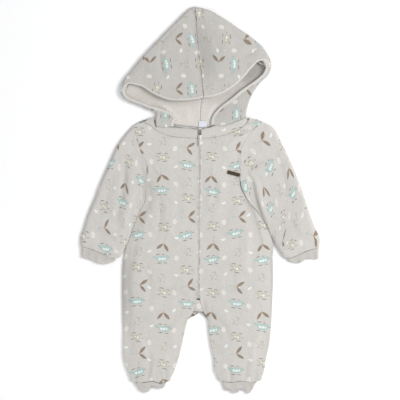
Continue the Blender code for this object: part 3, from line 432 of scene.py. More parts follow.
ANKLE_LEFT_SEAM = (
    (119.0, -382.0), (110.0, -383.0), (85.0, -381.0), (64.0, -383.5), (46.5, -381.0),
)

ANKLE_LEFT_END = (
    (112.0, -392.5), (108.0, -400.0), (104.0, -406.0), (95.5, -401.5), (85.0, -396.5),
    (79.0, -404.5), (70.5, -404.5), (64.0, -400.0), (55.5, -398.5), (50.0, -396.0),
)

# up_x, up_y, low_x, low_y
GUSSET = (
    (-7.5, -210.0, 0.5, -210.0),
    (-10.5, -221.5, 4.0, -221.5),
    (-13.5, -233.5, 8.0, -235.0),
)


def smoothstep(share: Array | float) -> Array:
    """Return a share from 0 to 1 eased at both ends."""
    share = np.clip(share, 0.0, 1.0)
    return share * share * (3.0 - 2.0 * share)


def chords(points: Array) -> Array:
    """Return the distance of each point along its polyline."""
    steps = np.linalg.norm(np.diff(points, axis=0), axis=1)
    return np.concatenate([[0.0], np.cumsum(steps)])


def smooth_through(rows: Array, knots: Array, places: Array) -> Array:
    """Pass one smooth curve through rows of numbers.

    Args:
        rows: One row of values for each knot.
        knots: Rising positions of the rows.
        places: Positions at which the curve is wanted.

    Returns:
        The values at those places, one row each.
    """
    slopes = np.gradient(rows, knots, axis=0)
    index = np.clip(np.searchsorted(knots, places, side="right") - 1, 0, len(knots) - 2)
    span = (knots[index + 1] - knots[index])[:, None]
    t = np.clip((places - knots[index])[:, None] / span, 0.0, 1.0)
    a, b = rows[index], rows[index + 1]
    u, v = slopes[index] * span, slopes[index + 1] * span
    first = (2 * t**3 - 3 * t**2 + 1) * a + (t**3 - 2 * t**2 + t) * u
    return first + (3 * t**2 - 2 * t**3) * b + (t**3 - t**2) * v


def smooth_line(points: Table, count: int = 121) -> Array:
    """Return a smooth line through a few points, as a fine polyline of even steps."""
    line = np.array(points, float)
    knots = chords(line)
    fine = smooth_through(line, knots, np.linspace(0.0, knots[-1], 4 * count))
    return walk(fine, np.linspace(0.0, chords(fine)[-1], count))


def walk(line: Array, distances: Array) -> Array:
    """Return the points of a polyline at these distances along it."""
    along = chords(line)
    return np.stack([np.interp(distances, along, line[:, axis]) for axis in range(line.shape[1])], axis=1)


def beside(plan: Array, path: Array) -> tuple[Array, Array, Array]:
    """Measure plan points against a path.

    Args:
        plan: Points in the plan.
        path: The path's polyline.

    Returns:
        The distance of each point, the side of the path it lies on, and its share along the path.
    """
    flat = plan.reshape(-1, 2)
    along = chords(path)
    nearest = np.full(len(flat), np.inf)
    side = np.zeros(len(flat))
    share = np.zeros(len(flat))
    for start, end, before, after in zip(path[:-1], path[1:], along[:-1], along[1:]):
        line = end - start
        away = flat - start
        t = np.clip(away @ line / max(line @ line, 1e-9), 0.0, 1.0)
        gap = np.linalg.norm(away - t[:, None] * line, axis=1)
        closer = gap < nearest
        nearest = np.where(closer, gap, nearest)
        side = np.where(closer, np.sign(line[0] * away[:, 1] - line[1] * away[:, 0]), side)
        share = np.where(closer, (before + t * (after - before)) / along[-1], share)
    shape = plan.shape[:-1]
    return nearest.reshape(shape), side.reshape(shape), share.reshape(shape)


@dataclass(frozen=True)
class Crease:
    """A soft trough or ridge laid in the cloth.

    A positive depth presses the cloth down and a negative one lifts it, and the finishes paint it as shade
    in a trough and as highlight on a ridge. The second width is for the right-hand side of the path, and is
    the same as the first where it is 0.
    """

    path: tuple[tuple[float, float], ...]
    depth: float
    width: float
    second_width: float = 0.0
    pieces: tuple[str, ...] = ()

    def press(self, plan: Array, piece: str) -> Array:
        """Return how far each plan point of a piece is pressed down."""
        if self.pieces and piece not in self.pieces:
            return np.zeros(plan.shape[:-1])
        path = smooth_line(self.path, 18)
        reach = 3.0 * max(self.width, self.second_width)
        low, high = path.min(0) - reach, path.max(0) + reach
        near = np.all((plan > low) & (plan < high), axis=-1)
        pressed = np.zeros(plan.shape[:-1])
        if not near.any():
            return pressed
        gap, side, share = beside(plan[near], path)
        width = np.where(side < 0, self.second_width or self.width, self.width)
        taper = np.sin(np.pi * np.clip(share, 0.0, 1.0)) ** 0.7 * 0.9 + 0.1
        pressed[near] = self.depth * taper * np.exp(-((gap / width) ** 2))
        return pressed


def ripple(plan: Array, height: float = 1.0, seed: float = 0.0) -> Array:
    """Return the small unevenness of cloth that has been worn and washed, in millimetres."""
    flat = plan.reshape(-1, 2)
    found = np.array(
        [
            0.75 * noise.noise(Vector((x / 41.0, y / 55.0, seed)))
            + 0.55 * noise.noise(Vector((x / 17.0, y / 22.0, seed + 7.3)))
            + 0.22 * noise.noise(Vector((x / 7.5, y / 9.0, seed + 3.1)))
            for x, y in flat
        ]
    )
    return height * found.reshape(plan.shape[:-1])


def pucker(along: Array, away: Array, seed: float, reach: float = 9.0) -> Array:
    """Return the small waves that a row of stitches draws into the cloth beside it.

    Args:
        along: Distance of each point along the seam.
        away: Its distance from the seam.
        seed: Sets one seam's waves apart from another's.
        reach: Distance at which the waves have nearly gone.

    Returns:
        The waves' height in millimetres.
    """
    waves = 0.30 * np.sin(along / 2.3 + 1.7 * np.sin(along / 9.1 + seed))
    waves = waves + 0.22 * np.sin(along / 4.9 + 2.0 * seed)
    waves = waves * (0.6 + 0.4 * np.sin(along / 23.0 + seed))
    return waves * np.exp(-((away / reach) ** 2)) * smoothstep(away / 1.5)


@dataclass(frozen=True)
class TurnedEdge:
    """The way a cut edge rolls over at a seam and is turned in behind it."""

    radius: float = 1.5
    turn_in: float = 2.0
    steps: int = 5

    def stations(self) -> tuple[Array, Array]:
        """Return distances from the edge and drops below the face, from the hidden end outwards."""
        angles = np.linspace(0.0, np.pi, self.steps * 2 + 1)
        distances = self.radius * (1.0 - np.sin(angles))
        drops = self.radius * (1.0 + np.cos(angles))
        return (
            np.concatenate([[self.radius + self.turn_in], distances]),
            np.concatenate([[2.0 * self.radius], drops]),
        )


SIDE_EDGE = TurnedEdge()
FLAT_SEAM = TurnedEdge(radius=0.55, turn_in=1.6, steps=4)
Edges = tuple[TurnedEdge, TurnedEdge]


def edges_by_join(joins: Array) -> list[Edges]:
    """Return the turned edges of each row: small where another piece is sewn on, and full where none is.

    Args:
        joins: For each row, how far its two ends are joined, from 0 to 1.

    Returns:
        The pair of turned edges of each row.
    """
    shrink = SIDE_EDGE.radius - FLAT_SEAM.radius
    return [
        (TurnedEdge(SIDE_EDGE.radius - shrink * out_join), TurnedEdge(SIDE_EDGE.radius - shrink * in_join))
        for out_join, in_join in joins
    ]


def across(length: float, edges: Edges, count: int) -> tuple[Array, Array]:
    """Place the points of one row between two turned edges.

    Args:
        length: Width of the finished piece there.
        edges: The turned edges at the row's start and end.
        count: Number of spaces between the two edges.

    Returns:
        Distances across the row and drops below the face.
    """
    near, near_drop = edges[0].stations()
    far, far_drop = edges[1].stations()
    first, last = edges[0].radius, length - edges[1].radius
    middle = np.linspace(first, last, count + 1)[1:-1]
    places = np.concatenate([near, middle, length - far[::-1]])
    drops = np.concatenate([near_drop, np.zeros(len(middle)), far_drop[::-1]])
    return places, drops


@dataclass
class PlanNet:
    """The plan of a piece: rows that cross between two sides, bent to its first and last edges."""

    sections: Table
    first: Table | None = None
    last: Table | None = None
    trim: float = SEAM_GAP / 2.0
    table: Array = field(init=False)
    knots: Array = field(init=False)
    bends: list[Array] = field(init=False)
    fine: Array = field(init=False)

    def __post_init__(self) -> None:
        """Work out the positions of the table's rows and the bends of the two edges."""
        self.table = np.array(self.sections, float)
        self.knots = (chords(self.table[:, 0:2]) + chords(self.table[:, 2:4])) / 2.0
        self.fine = np.linspace(0.0, 1.0, 81)
        self.bends = []
        for edge, row in ((self.first, self.table[0]), (self.last, self.table[-1])):
            straight = row[0:2] + self.fine[:, None] * (row[2:4] - row[0:2])
            curve = straight if edge is None else smooth_line(edge, 81)
            self.bends.append(curve - straight)

    @property
    def length(self) -> float:
        """Mean length of the two sides."""
        return float(self.knots[-1])

    def values(self, places: Array) -> Array:
        """Return the table's values at these distances down the piece."""
        places = np.clip(places, 0.0, self.length)
        found = smooth_through(self.table, self.knots, places)
        for column in range(4, self.table.shape[1]):
            found[:, column] = np.interp(places, self.knots, self.table[:, column])
        return found

    def lines(self, places: Array) -> Array:
        """Return the fine polyline of the row at each of these distances down the piece."""
        values = self.values(places)
        count = len(self.table) - 1.0
        share = (np.interp(places, self.knots, np.arange(count + 1.0)) / count)[:, None, None]
        fade_first = np.maximum(0.0, 1.0 - 2.2 * share) ** 1.5
        fade_last = np.maximum(0.0, 2.2 * share - 1.2) ** 1.5
        starts, ends = values[:, None, 0:2], values[:, None, 2:4]
        straight = starts + self.fine[None, :, None] * (ends - starts)
        return straight + self.bends[0] * fade_first + self.bends[1] * fade_last

    def spread(
        self,
        rows: tuple[Array, Array],
        edges: Edges | list[Edges],
        count: int,
    ) -> tuple[Array, Array, Array, Array]:
        """Lay the net's points out.

        Args:
            rows: Distances down the piece and their drops.
            edges: The turned edges of the two sides, for the whole piece or for each row.
            count: Number of spaces across.

        Returns:
            The plan points, the drop of each, and the distances from both sides.
        """
        places, row_drops = rows
        plan, drops, near, far = [], [], [], []
        by_row = edges if isinstance(edges, list) else [edges] * len(places)
        for line, row_drop, row_edges in zip(self.lines(places), row_drops, by_row):
            length = chords(line)[-1]
            inner = length - 2.0 * self.trim
            stations, station_drops = across(inner, row_edges, count)
            plan.append(walk(line, stations + self.trim))
            drops.append(np.maximum(station_drops, row_drop))
            near.append(stations)
            far.append(inner - stations)
        return np.array(plan), np.array(drops), np.array(near), np.array(far)


@dataclass
class ClothGrid:
    """A grid of cloth: where each crossing of its threads lies, and where it was in the flat cut."""

    name: str
    points: Array
    cut: Array
    kept: Array | None = None
    wraps: bool = False
    face_up: tuple[int, int] = (-1, -1)
    up: float = 1.0
    wall: float = JERSEY_WALL
    marks: dict[str, Array] = field(default_factory=dict)

    def raise_mesh(self) -> Cloth:
        """Shape a plain grid to the points and write its flat cut as its UV map."""
        rows, columns = self.points.shape[:2]
        cloth = bmesh.new()
        bmesh.ops.create_grid(cloth, x_segments=columns - 1, y_segments=rows - 1, size=0.5)
        cloth.verts.ensure_lookup_table()
        places = (self.points.reshape(-1, 3) * MM).tolist()
        for vert, place in zip(cloth.verts, places):
            vert.co = place
        layer = cloth.loops.layers.uv.new(CUT_MAP)
        flat = (self.cut.reshape(-1, 2) * MM).tolist()
        for face in cloth.faces:
            for loop in face.loops:
                loop[layer].uv = flat[loop.vert.index]
        for name, values in self.marks.items():
            mark = cloth.verts.layers.float.new(name)
            for vert, value in zip(cloth.verts, values.reshape(-1).tolist()):
                vert[mark] = value
        if self.kept is not None:
            self.drop_faces(cloth, columns)
        if self.wraps:
            self.close_round(cloth, rows, columns)
        self.face_outwards(cloth)
        return cloth

    def drop_faces(self, cloth: Cloth, columns: int) -> None:
        """Remove the faces outside the cut."""
        kept = self.kept
        gone = []
        for face in cloth.faces:
            corner = min(loop.vert.index for loop in face.loops)
            if not kept[corner // columns, corner % columns]:
                gone.append(face)
        bmesh.ops.delete(cloth, geom=gone, context="FACES")

    def close_round(self, cloth: Cloth, rows: int, columns: int) -> None:
        """Join the first column to the last, as the seam of a sleeve does."""
        cloth.verts.ensure_lookup_table()
        pairs = {cloth.verts[r * columns + columns - 1]: cloth.verts[r * columns] for r in range(rows)}
        bmesh.ops.weld_verts(cloth, targetmap=pairs)

    def face_outwards(self, cloth: Cloth) -> None:
        """Turn the cloth's right side out."""
        rows, columns = self.points.shape[:2]
        r, c = self.face_up
        r = rows // 2 if r < 0 else r
        c = columns // 2 if c < 0 else c
        over = self.points[r, c + 1] - self.points[r, c]
        down = self.points[r + 1, c] - self.points[r, c]
        if np.cross(over, down)[2] * self.up < 0.0:
            bmesh.ops.reverse_faces(cloth, faces=cloth.faces[:])

    def cut_size(self) -> tuple[float, float, float]:
        """Return the width, length and area of the flat cut, in metres, measured along the cloth."""
        rows, columns = self.points.shape[:2]
        kept = np.ones((rows - 1, columns - 1)) if self.kept is None else self.kept
        over = np.diff(self.points, axis=1)
        down = np.diff(self.points, axis=0)
        width = (np.linalg.norm(over[:-1], axis=2) * kept).sum(axis=1).max()
        length = (np.linalg.norm(down[:, :-1], axis=2) * kept).sum(axis=0).max()
        first = np.linalg.norm(np.cross(over[:-1], down[:, :-1]), axis=2)
        second = np.linalg.norm(np.cross(over[1:], down[:, 1:]), axis=2)
        area = ((first + second) / 2.0 * kept).sum()
        return width * MM, length * MM, float(area) * MM * MM


@dataclass
class Piece:
    """A finished piece of the garment and the surface that trims are sewn on."""

    name: str
    thing: bpy.types.Object
    tree: BVHTree

    def height(self, x: float, y: float) -> float:
        """Return the height of the piece's upper face at a plan point, all in millimetres."""
        found = self.tree.ray_cast(Vector((x * MM, y * MM, 0.2)), Vector((0.0, 0.0, -1.0)))[0]
        return found.z / MM if found else FRONT_TOP


def add_piece(
    name: str, mesh: Cloth, materials: Iterable[Material], smooth: bool = True
) -> Piece:
    """Make an object of a mesh and dress it.

    Args:
        name: The piece's name.
        mesh: The shape, which is freed.
        materials: Its finishes, in order of their index.
        smooth: Whether its faces are shaded smooth.

    Returns:
        The piece, with its surface kept for trims.
    """
    mesh.normal_update()
    tree = BVHTree.FromBMesh(mesh)
    data = bpy.data.meshes.new(name)
    mesh.to_mesh(data)
    mesh.free()
    data.polygons.foreach_set("use_smooth", [smooth] * len(data.polygons))
    for material in materials:
        data.materials.append(material)
    thing = bpy.data.objects.new(name + "_look", data)
    bpy.context.scene.collection.objects.link(thing)
    LOG.info("%s: %d faces", name, len(data.polygons))
    return Piece(name, thing, tree)


def give_wall(piece: Piece, wall: float) -> None:
    """Give a sheet of cloth its thickness, inwards from its right side."""
    solid = piece.thing.modifiers.new("wall", "SOLIDIFY")
    solid.thickness = wall * MM
    solid.offset = -1.0
    solid.use_even_offset = False
    solid.use_rim = True


def sew(
    grid: ClothGrid,
    material: Material,
    node: str,
    cloth: Cloth | None = None,
) -> Piece:
    """Turn a grid of cloth into a piece that stands for its solid.

    Args:
        grid: The laid-out cloth.
        material: Its finish.
        node: The solid it stands for.
        cloth: The grid's mesh, where that has been raised already.

    Returns:
        The finished piece.
    """
    piece = add_piece(grid.name, cloth or grid.raise_mesh(), [material])
    give_wall(piece, grid.wall)
    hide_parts(node)
    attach(piece.thing, Body.GARMENT.value)
    width, length, area = grid.cut_size()
    min(area, width * length)
    return piece


# Where a path runs down the garment, its second width is on the side towards the wearer's right.
CREASES = (
    Crease(
        (
            (-139.7, 99.8), (-152.2, 87.2), (-157.5, 70.4), (-158.6, 41.0), (-164.8, 7.4),
            (-175.3, -47.2),
        ),
        1.9, 7.0, 5.0, ("sleeve_right",),
    ),
    Crease(((-181.7, 49.4), (-196.3, 5.2), (-213.2, -47.2)), 0.9, 9.0, 6.0, ("sleeve_right",)),
    Crease(
        ((-137.6, 32.6), (-143.8, 1.1), (-152.2, -30.5), (-164.8, -76.7)),
        -0.9, 6.0, 8.0, ("sleeve_right",),
    ),
    Crease(((-225.8, -59.9), (-204.8, -68.2), (-177.5, -85.0)), 0.8, 4.0, 6.0, ("sleeve_right",)),
    Crease(((-137.6, 127.1), (-127.1, 99.8), (-112.4, 80.9)), -0.8, 5.0, 4.0, ("sleeve_right",)),
    Crease(
        (
            (101.9, 68.2), (101.9, 53.6), (110.2, 38.9), (114.5, 19.9), (118.7, -1.1), (123.9, -17.9),
            (131.2, -38.9), (141.8, -62.0), (152.2, -80.9),
        ),
        3.0, 2.6, 7.5, ("sleeve_left",),
    ),
    Crease(((112.4, 49.4), (122.9, 19.9), (131.2, -13.7), (146.0, -51.5)), -1.3, 7.0, 4.0, ("sleeve_left",)),
    Crease(((99.8, 64.0), (118.7, 74.5), (135.5, 81.9)), 1.7, 3.0, 5.0, ("sleeve_left",)),
    Crease(((156.5, 104.0), (173.2, 62.0), (181.7, 15.8)), 0.9, 8.0, 5.0, ("sleeve_left",)),
    Crease(((173.2, -9.5), (194.2, -47.2), (215.2, -85.0)), 1.0, 6.0, 9.0, ("sleeve_left",)),
    Crease(((177.5, -91.4), (202.7, -76.7), (230.0, -70.4)), 0.7, 4.0, 5.0, ("sleeve_left",)),
    Crease(
        ((-101.9, 57.8), (-108.2, 34.6), (-108.2, 1.1), (-116.6, -26.2), (-127.1, -55.7)),
        1.6, 8.0, 4.0, ("front_right",),
    ),
    Crease(((-104.0, 70.4), (-89.2, 53.6), (-68.2, 41.0)), 0.9, 4.0, 5.0, ("front_right",)),
    Crease(((-129.2, -76.7), (-139.7, -110.2), (-146.0, -160.7)), 1.0, 7.0, 6.0, ("front_right",)),
    Crease(((-47.2, 83.0), (-41.0, 19.9), (-45.1, -47.2)), 0.6, 9.0, 13.0, ("front_right",)),
    Crease(((-24.2, -202.7), (-57.8, -190.1), (-99.8, -185.8)), 0.8, 6.0, 8.0, ("front_right",)),
    Crease(((-22.1, -223.7), (-49.4, -246.8), (-78.8, -286.7)), 0.7, 6.0, 7.0, ("front_right",)),
    Crease(((-112.4, -391.7), (-106.1, -358.1), (-104.0, -320.2)), 1.2, 5.0, 4.0, ("front_right",)),
    Crease(((-74.5, -391.7), (-72.5, -362.2), (-78.8, -337.1)), 0.9, 4.0, 5.0, ("front_right",)),
    Crease(((-137.6, -387.4), (-133.3, -366.4), (-131.2, -341.2)), 0.8, 3.5, 4.5, ("front_right",)),
    Crease(
        ((83.0, 66.2), (85.0, 36.8), (93.5, 7.4), (110.2, -26.2), (122.9, -68.2), (131.2, -106.1)),
        1.9, 4.0, 10.0, ("front_left",),
    ),
    Crease(((45.1, 139.7), (72.5, 138.4), (99.8, 143.8)), 1.1, 4.0, 3.0, ("front_left", "neck_band_left")),
    Crease(((64.0, 120.8), (85.0, 131.2), (106.1, 141.8)), -0.9, 5.0, 4.0, ("front_left",)),
    Crease(((51.5, 7.4), (55.7, -47.2), (47.2, -97.7)), 0.6, 12.0, 8.0, ("front_left",)),
    Crease(((13.7, -202.7), (47.2, -190.1), (91.4, -192.2)), 0.8, 8.0, 6.0, ("front_left",)),
    Crease(((15.8, -227.9), (41.0, -253.1), (68.2, -299.2)), 0.7, 7.0, 6.0, ("front_left",)),
    Crease(((5.2, -206.9), (9.5, -227.9), (17.9, -253.1)), 1.3, 5.0, 3.0, ("front_left",)),
    Crease(((62.0, -395.9), (64.0, -370.7), (57.8, -341.2)), 1.2, 4.0, 5.0, ("front_left",)),
    Crease(((97.7, -391.7), (97.7, -358.1), (104.0, -324.4)), 1.0, 5.0, 4.0, ("front_left",)),
    Crease(((116.6, -387.4), (116.6, -366.4), (120.8, -343.4)), 0.8, 3.5, 4.5, ("front_left",)),
    Crease(
        ((-162.8, -59.9), (-163.8, -93.5), (-163.8, -135.5), (-161.7, -202.7), (-160.7, -274.1)),
        6.0, 12.0, 0.0, ("front_right",),
    ),
    Crease(
        ((-118.7, 53.6), (-117.6, 19.9), (-122.9, -9.5), (-133.3, -38.9), (-148.1, -80.9)),
        2.4, 7.0, 0.0, ("front_right",),
    ),
    Crease(
        ((-127.1, 83.0), (-116.6, 36.8), (-120.8, -9.5), (-137.6, -51.5), (-154.3, -97.7)),
        2.2, 6.0, 0.0, ("sleeve_right",),
    ),
    Crease(
        ((153.3, -76.7), (154.3, -131.2), (154.3, -211.1), (152.2, -274.1)),
        2.6, 7.0, 0.0, ("front_left",),
    ),
    # Creases on the lining's under layer sink it by at most 0.3 mm, so there they are mostly painted shade;
    # this one paints the shadow in the hollow at the end of the mouth.
    Crease(((131.2, 297.2), (120.8, 276.2), (104.0, 259.4), (89.2, 242.6)), 8.0, 15.0, 0.0, ("under_left",)),
    Crease(
        ((95.5, 242.6), (74.5, 221.6), (51.5, 202.7), (34.6, 183.8), (26.2, 162.8)),
        2.2, 7.0, 0.0, ("under_left",),
    ),
    Crease(
        ((-146.0, 234.2), (-104.0, 215.2), (-57.8, 202.7), (-7.4, 204.8)),
        2.0, 6.0, 0.0, ("under_right",),
    ),
    Crease(((-7.4, 204.8), (30.5, 209.0), (68.2, 227.9), (101.9, 259.4)), 2.0, 6.0, 0.0, ("under_left",)),
    Crease(((-87.2, 19.9), (-83.0, -30.5), (-91.4, -85.0)), 0.9, 7.0, 4.0, ("front_right",)),
    Crease(((-116.6, -131.2), (-104.0, -169.1), (-104.0, -219.5)), 0.8, 5.0, 8.0, ("front_right",)),
    Crease(((-66.2, -55.7), (-49.4, -80.9), (-19.9, -93.5)), -0.8, 5.0, 6.0, ("front_right",)),
    Crease(((-141.8, -274.1), (-120.8, -299.2), (-112.4, -332.9)), -0.9, 5.0, 7.0, ("front_right",)),
    Crease(((13.7, 62.0), (30.5, 32.6), (30.5, -13.7)), 0.8, 6.0, 5.0, ("front_left",)),
    Crease(((106.1, -68.2), (97.7, -110.2), (101.9, -160.7)), -0.9, 6.0, 8.0, ("front_left",)),
    Crease(((55.7, -131.2), (72.5, -160.7), (68.2, -194.2)), 0.7, 5.0, 7.0, ("front_left",)),
    Crease(((131.2, -274.1), (114.5, -303.4), (110.2, -341.2)), -0.8, 5.0, 6.0, ("front_left",)),
    Crease(((-204.8, -13.7), (-183.8, -26.2), (-162.8, -30.5)), 0.9, 4.0, 6.0, ("sleeve_right",)),
    Crease(((-217.4, -38.9), (-200.6, -47.2), (-175.3, -59.9)), -0.8, 4.0, 5.0, ("sleeve_right",)),
    Crease(((143.8, 28.4), (164.8, 15.8), (190.1, 7.4)), 0.8, 4.0, 5.0, ("sleeve_left",)),
    Crease(((152.2, -30.5), (181.7, -38.9), (206.9, -38.9)), -0.8, 4.0, 6.0, ("sleeve_left",)),
    Crease(((96.6, 175.3), (98.7, 158.6), (97.7, 141.8)), 0.9, 3.0, 4.0, ("neck_band_left", "front_left")),
    Crease(
        ((-80.9, 330.8), (-83.0, 313.9), (-83.0, 288.8), (-80.9, 271.9), (-72.5, 259.4)),
        1.5, 4.5, 3.0, ("hood_right",),
    ),
    Crease(((-45.1, 368.6), (-64.0, 349.7), (-83.0, 328.7)), 1.1, 6.0, 4.5, ("hood_right",)),
    Crease(((-19.9, 402.2), (-15.8, 393.8), (-9.5, 383.2)), 1.0, 3.0, 2.5, ("hood_right",)),
    Crease(((-125.0, 288.8), (-110.2, 271.9), (-104.0, 246.8)), 0.8, 6.0, 8.0, ("hood_right",)),
    Crease(((-28.4, 334.9), (-32.6, 297.2), (-28.4, 251.0)), 0.7, 8.0, 6.0, ("hood_right",)),
    Crease(((125.0, 322.4), (110.2, 309.8), (85.0, 297.2)), 1.3, 5.0, 6.0, ("hood_left",)),
    Crease(((26.2, 347.6), (38.9, 318.2), (43.1, 280.4)), 0.7, 9.0, 6.0, ("hood_left",)),
    Crease(((80.9, 280.4), (59.9, 263.6), (34.6, 251.0)), 0.9, 5.0, 7.0, ("hood_left",)),
    Crease(((76.7, 167.0), (68.2, 188.0), (76.7, 211.1), (97.7, 232.1)), 0.9, 5.0, 7.0, ("hood_left",)),
    Crease(((51.5, 154.3), (47.2, 173.2), (53.6, 192.2)), 0.7, 3.0, 4.0, ("hood_left",)),
    Crease(((-7.4, 389.6), (-3.2, 334.9), (5.2, 288.8), (13.7, 238.4)), 4.0, 26.0, 7.0, ("hood_left",)),
    Crease(((-7.4, 389.6), (-5.2, 334.9), (1.1, 288.8), (5.2, 238.4)), 1.6, 3.0, 12.0, ("hood_right",)),
    Crease(
        ((95.5, 263.6), (72.5, 234.2), (49.4, 211.1), (32.6, 188.0), (22.1, 158.6)),
        3.2, 26.0, 3.0, ("hood_left",),
    ),
    Crease(
        # The under layer's ridges lift the lining and are painted lighter as highlight; its troughs are
        # mostly painted shade.
        ((-85.0, 209.0), (-70.4, 198.5), (-57.8, 183.8), (-43.1, 171.2)),
        -2.6, 2.6, 13.0, ("under_right",),
    ),
    Crease(((-150.2, 225.8), (-120.8, 215.2), (-91.4, 200.6)), 1.2, 4.0, 5.0, ("under_right",)),
    Crease(((-104.0, 211.1), (-83.0, 192.2), (-68.2, 177.5)), 0.8, 3.0, 3.0, ("under_right",)),
    Crease(((-28.4, 206.9), (-24.2, 188.0), (-26.2, 164.8)), -0.8, 5.0, 7.0, ("under_right",)),
    Crease(((34.6, 209.0), (22.1, 190.1), (15.8, 169.1)), -1.0, 6.0, 5.0, ("under_left",)),
    Crease(((68.2, 238.4), (47.2, 219.5), (30.5, 200.6)), 0.8, 4.0, 5.0, ("under_left",)),
    Crease(((-87.2, 181.7), (-70.4, 169.1), (-57.8, 158.6)), 0.8, 3.0, 4.0, ("hood_right",)),
)


# How many times deeper a piece's creases are than their rows say.
FOLD_DEPTHS = {
    "front_right": 1.45,
    "front_left": 1.45,
    "sleeve_right": 1.5,
    "sleeve_left": 1.3,
    "hood_right": 1.35,
    "hood_left": 1.2,
}


@dataclass(frozen=True)
class Seat:
    """A flat place that a trim presses into the cloth under it."""

    x: float
    y: float
    half_length: float
    half_width: float
    turn: float
    level: float
    reach: float

    def settle(self, plan: Array, face: Array) -> Array:
        """Lower the cloth to the seat's level, and ease it back up round the seat.

        Args:
            plan: Plan points.
            face: Their heights.

        Returns:
            The new heights.
        """
        cosine, sine = math.cos(math.radians(self.turn)), math.sin(math.radians(self.turn))
        dx, dy = plan[..., 0] - self.x, plan[..., 1] - self.y
        along = np.maximum(np.abs(dx * cosine + dy * sine) - self.half_length, 0.0)
        over = np.maximum(np.abs(dy * cosine - dx * sine) - self.half_width, 0.0)
        hold = 1.0 - smoothstep(np.hypot(along, over) / self.reach)
        return face + hold * (np.minimum(self.level, face) - face)


PLATE_SEAT = Seat(70.5, 55.5, 13.5, 3.8, -15.0, 8.75, 16.0)


def pressed(plan: Array, piece: str) -> Array:
    """Return how far all the creases together press down each plan point of a piece."""
    total = np.zeros(plan.shape[:-1])
    for crease in CREASES:
        total += crease.press(plan, piece)
    return total * FOLD_DEPTHS.get(piece, 1.0)


def lifted(plan: Array, heights: Array) -> Array:
    """Return plan points with their heights."""
    return np.concatenate([plan, heights[..., None]], axis=-1)


class LaidSheet:
    """A single piece of jersey that lies flat."""

    name: str

    def grid(self) -> ClothGrid:
        """Lay the piece out."""
        raise NotImplementedError

    def build(self, material: Material) -> Piece:
        return sew(self.grid(), material, self.name)


@dataclass
class FrontPanel(LaidSheet):
    """One half of the front, from the neck band and the zip to the ankle cuff."""

    name: str
    sections: Table
    neck: Table
    ankle: Table
    billow: float = 1.6
    to_zip: float = 2.4
    spaces: int = 66
    step: float = 2.4

    def closed_up(self) -> tuple[Array, Array]:
        """Return the sections and the neck's edge with the panel drawn up to the coil of the closed zip."""
        sections = np.array(self.sections, float)
        neck = np.array(self.neck, float)
        reach = self.to_zip * np.sign(sections[0, 2] - sections[0, 0])
        sections[:, 2] += np.where(sections[:, 3] > ZIP_LOW_Y, reach, 0.0)
        neck[-1, 0] += reach
        return sections, neck

    def grid(self) -> ClothGrid:
        """Lay the panel out over the back."""
        net = PlanNet(*self.closed_up(), self.ankle)
        rows = across(net.length, (FLAT_SEAM, FLAT_SEAM), int(net.length / self.step))
        joins = net.values(rows[0])[:, 4:6]
        plan, drops, near, far = net.spread(rows, edges_by_join(joins), self.spaces)
        out_join, in_join = joins[:, 0:1], joins[:, 1:2]
        risen_out = out_join + (1.0 - out_join) * smoothstep(near / RISE_WIDTH)
        risen_in = in_join + (1.0 - in_join) * smoothstep(far / RISE_WIDTH)
        face = FRONT_TOP - FRONT_RISE * (1.0 - risen_out * risen_in)
        down = rows[0][:, None]
        inside = smoothstep(near / 55.0) * smoothstep(far / 55.0) * smoothstep(down / 50.0)
        inside = inside * smoothstep((net.length - down) / 40.0)
        edge = smoothstep(near / 9.0) * smoothstep(far / 7.0)
        face = face + self.billow * inside + edge * ripple(plan, 1.5)
        face = face + pucker(down, far, 1.0) * in_join + pucker(down, near, 2.6) * out_join
        face = face + pucker(near, down, 4.2) + pucker(near, net.length - down, 5.5, 12.0)
        face = PLATE_SEAT.settle(plan, face)
        trough = pressed(plan, self.name)
        face = np.maximum(face - trough, BACK_TOP + 1.9)
        return ClothGrid(self.name, lifted(plan, face - drops), plan, marks={TROUGH_SHADE: trough})


@dataclass
class BackPanel(LaidSheet):
    """One half of the back, flat on what the garment lies on."""

    name: str
    sections: Table
    neck: Table
    ankle: Table
    spaces: int = 44
    step: float = 4.0

    def grid(self) -> ClothGrid:
        """Lay the panel out with its right side down."""
        net = PlanNet(self.sections, self.neck, self.ankle)
        rows = across(net.length, (SIDE_EDGE, SIDE_EDGE), int(net.length / self.step))
        plan, drops, _, _ = net.spread(rows, (SIDE_EDGE, SIDE_EDGE), self.spaces)
        cut = plan * np.array([-1.0, 1.0])
        return ClothGrid(self.name, lifted(plan, drops), cut, up=-1.0)


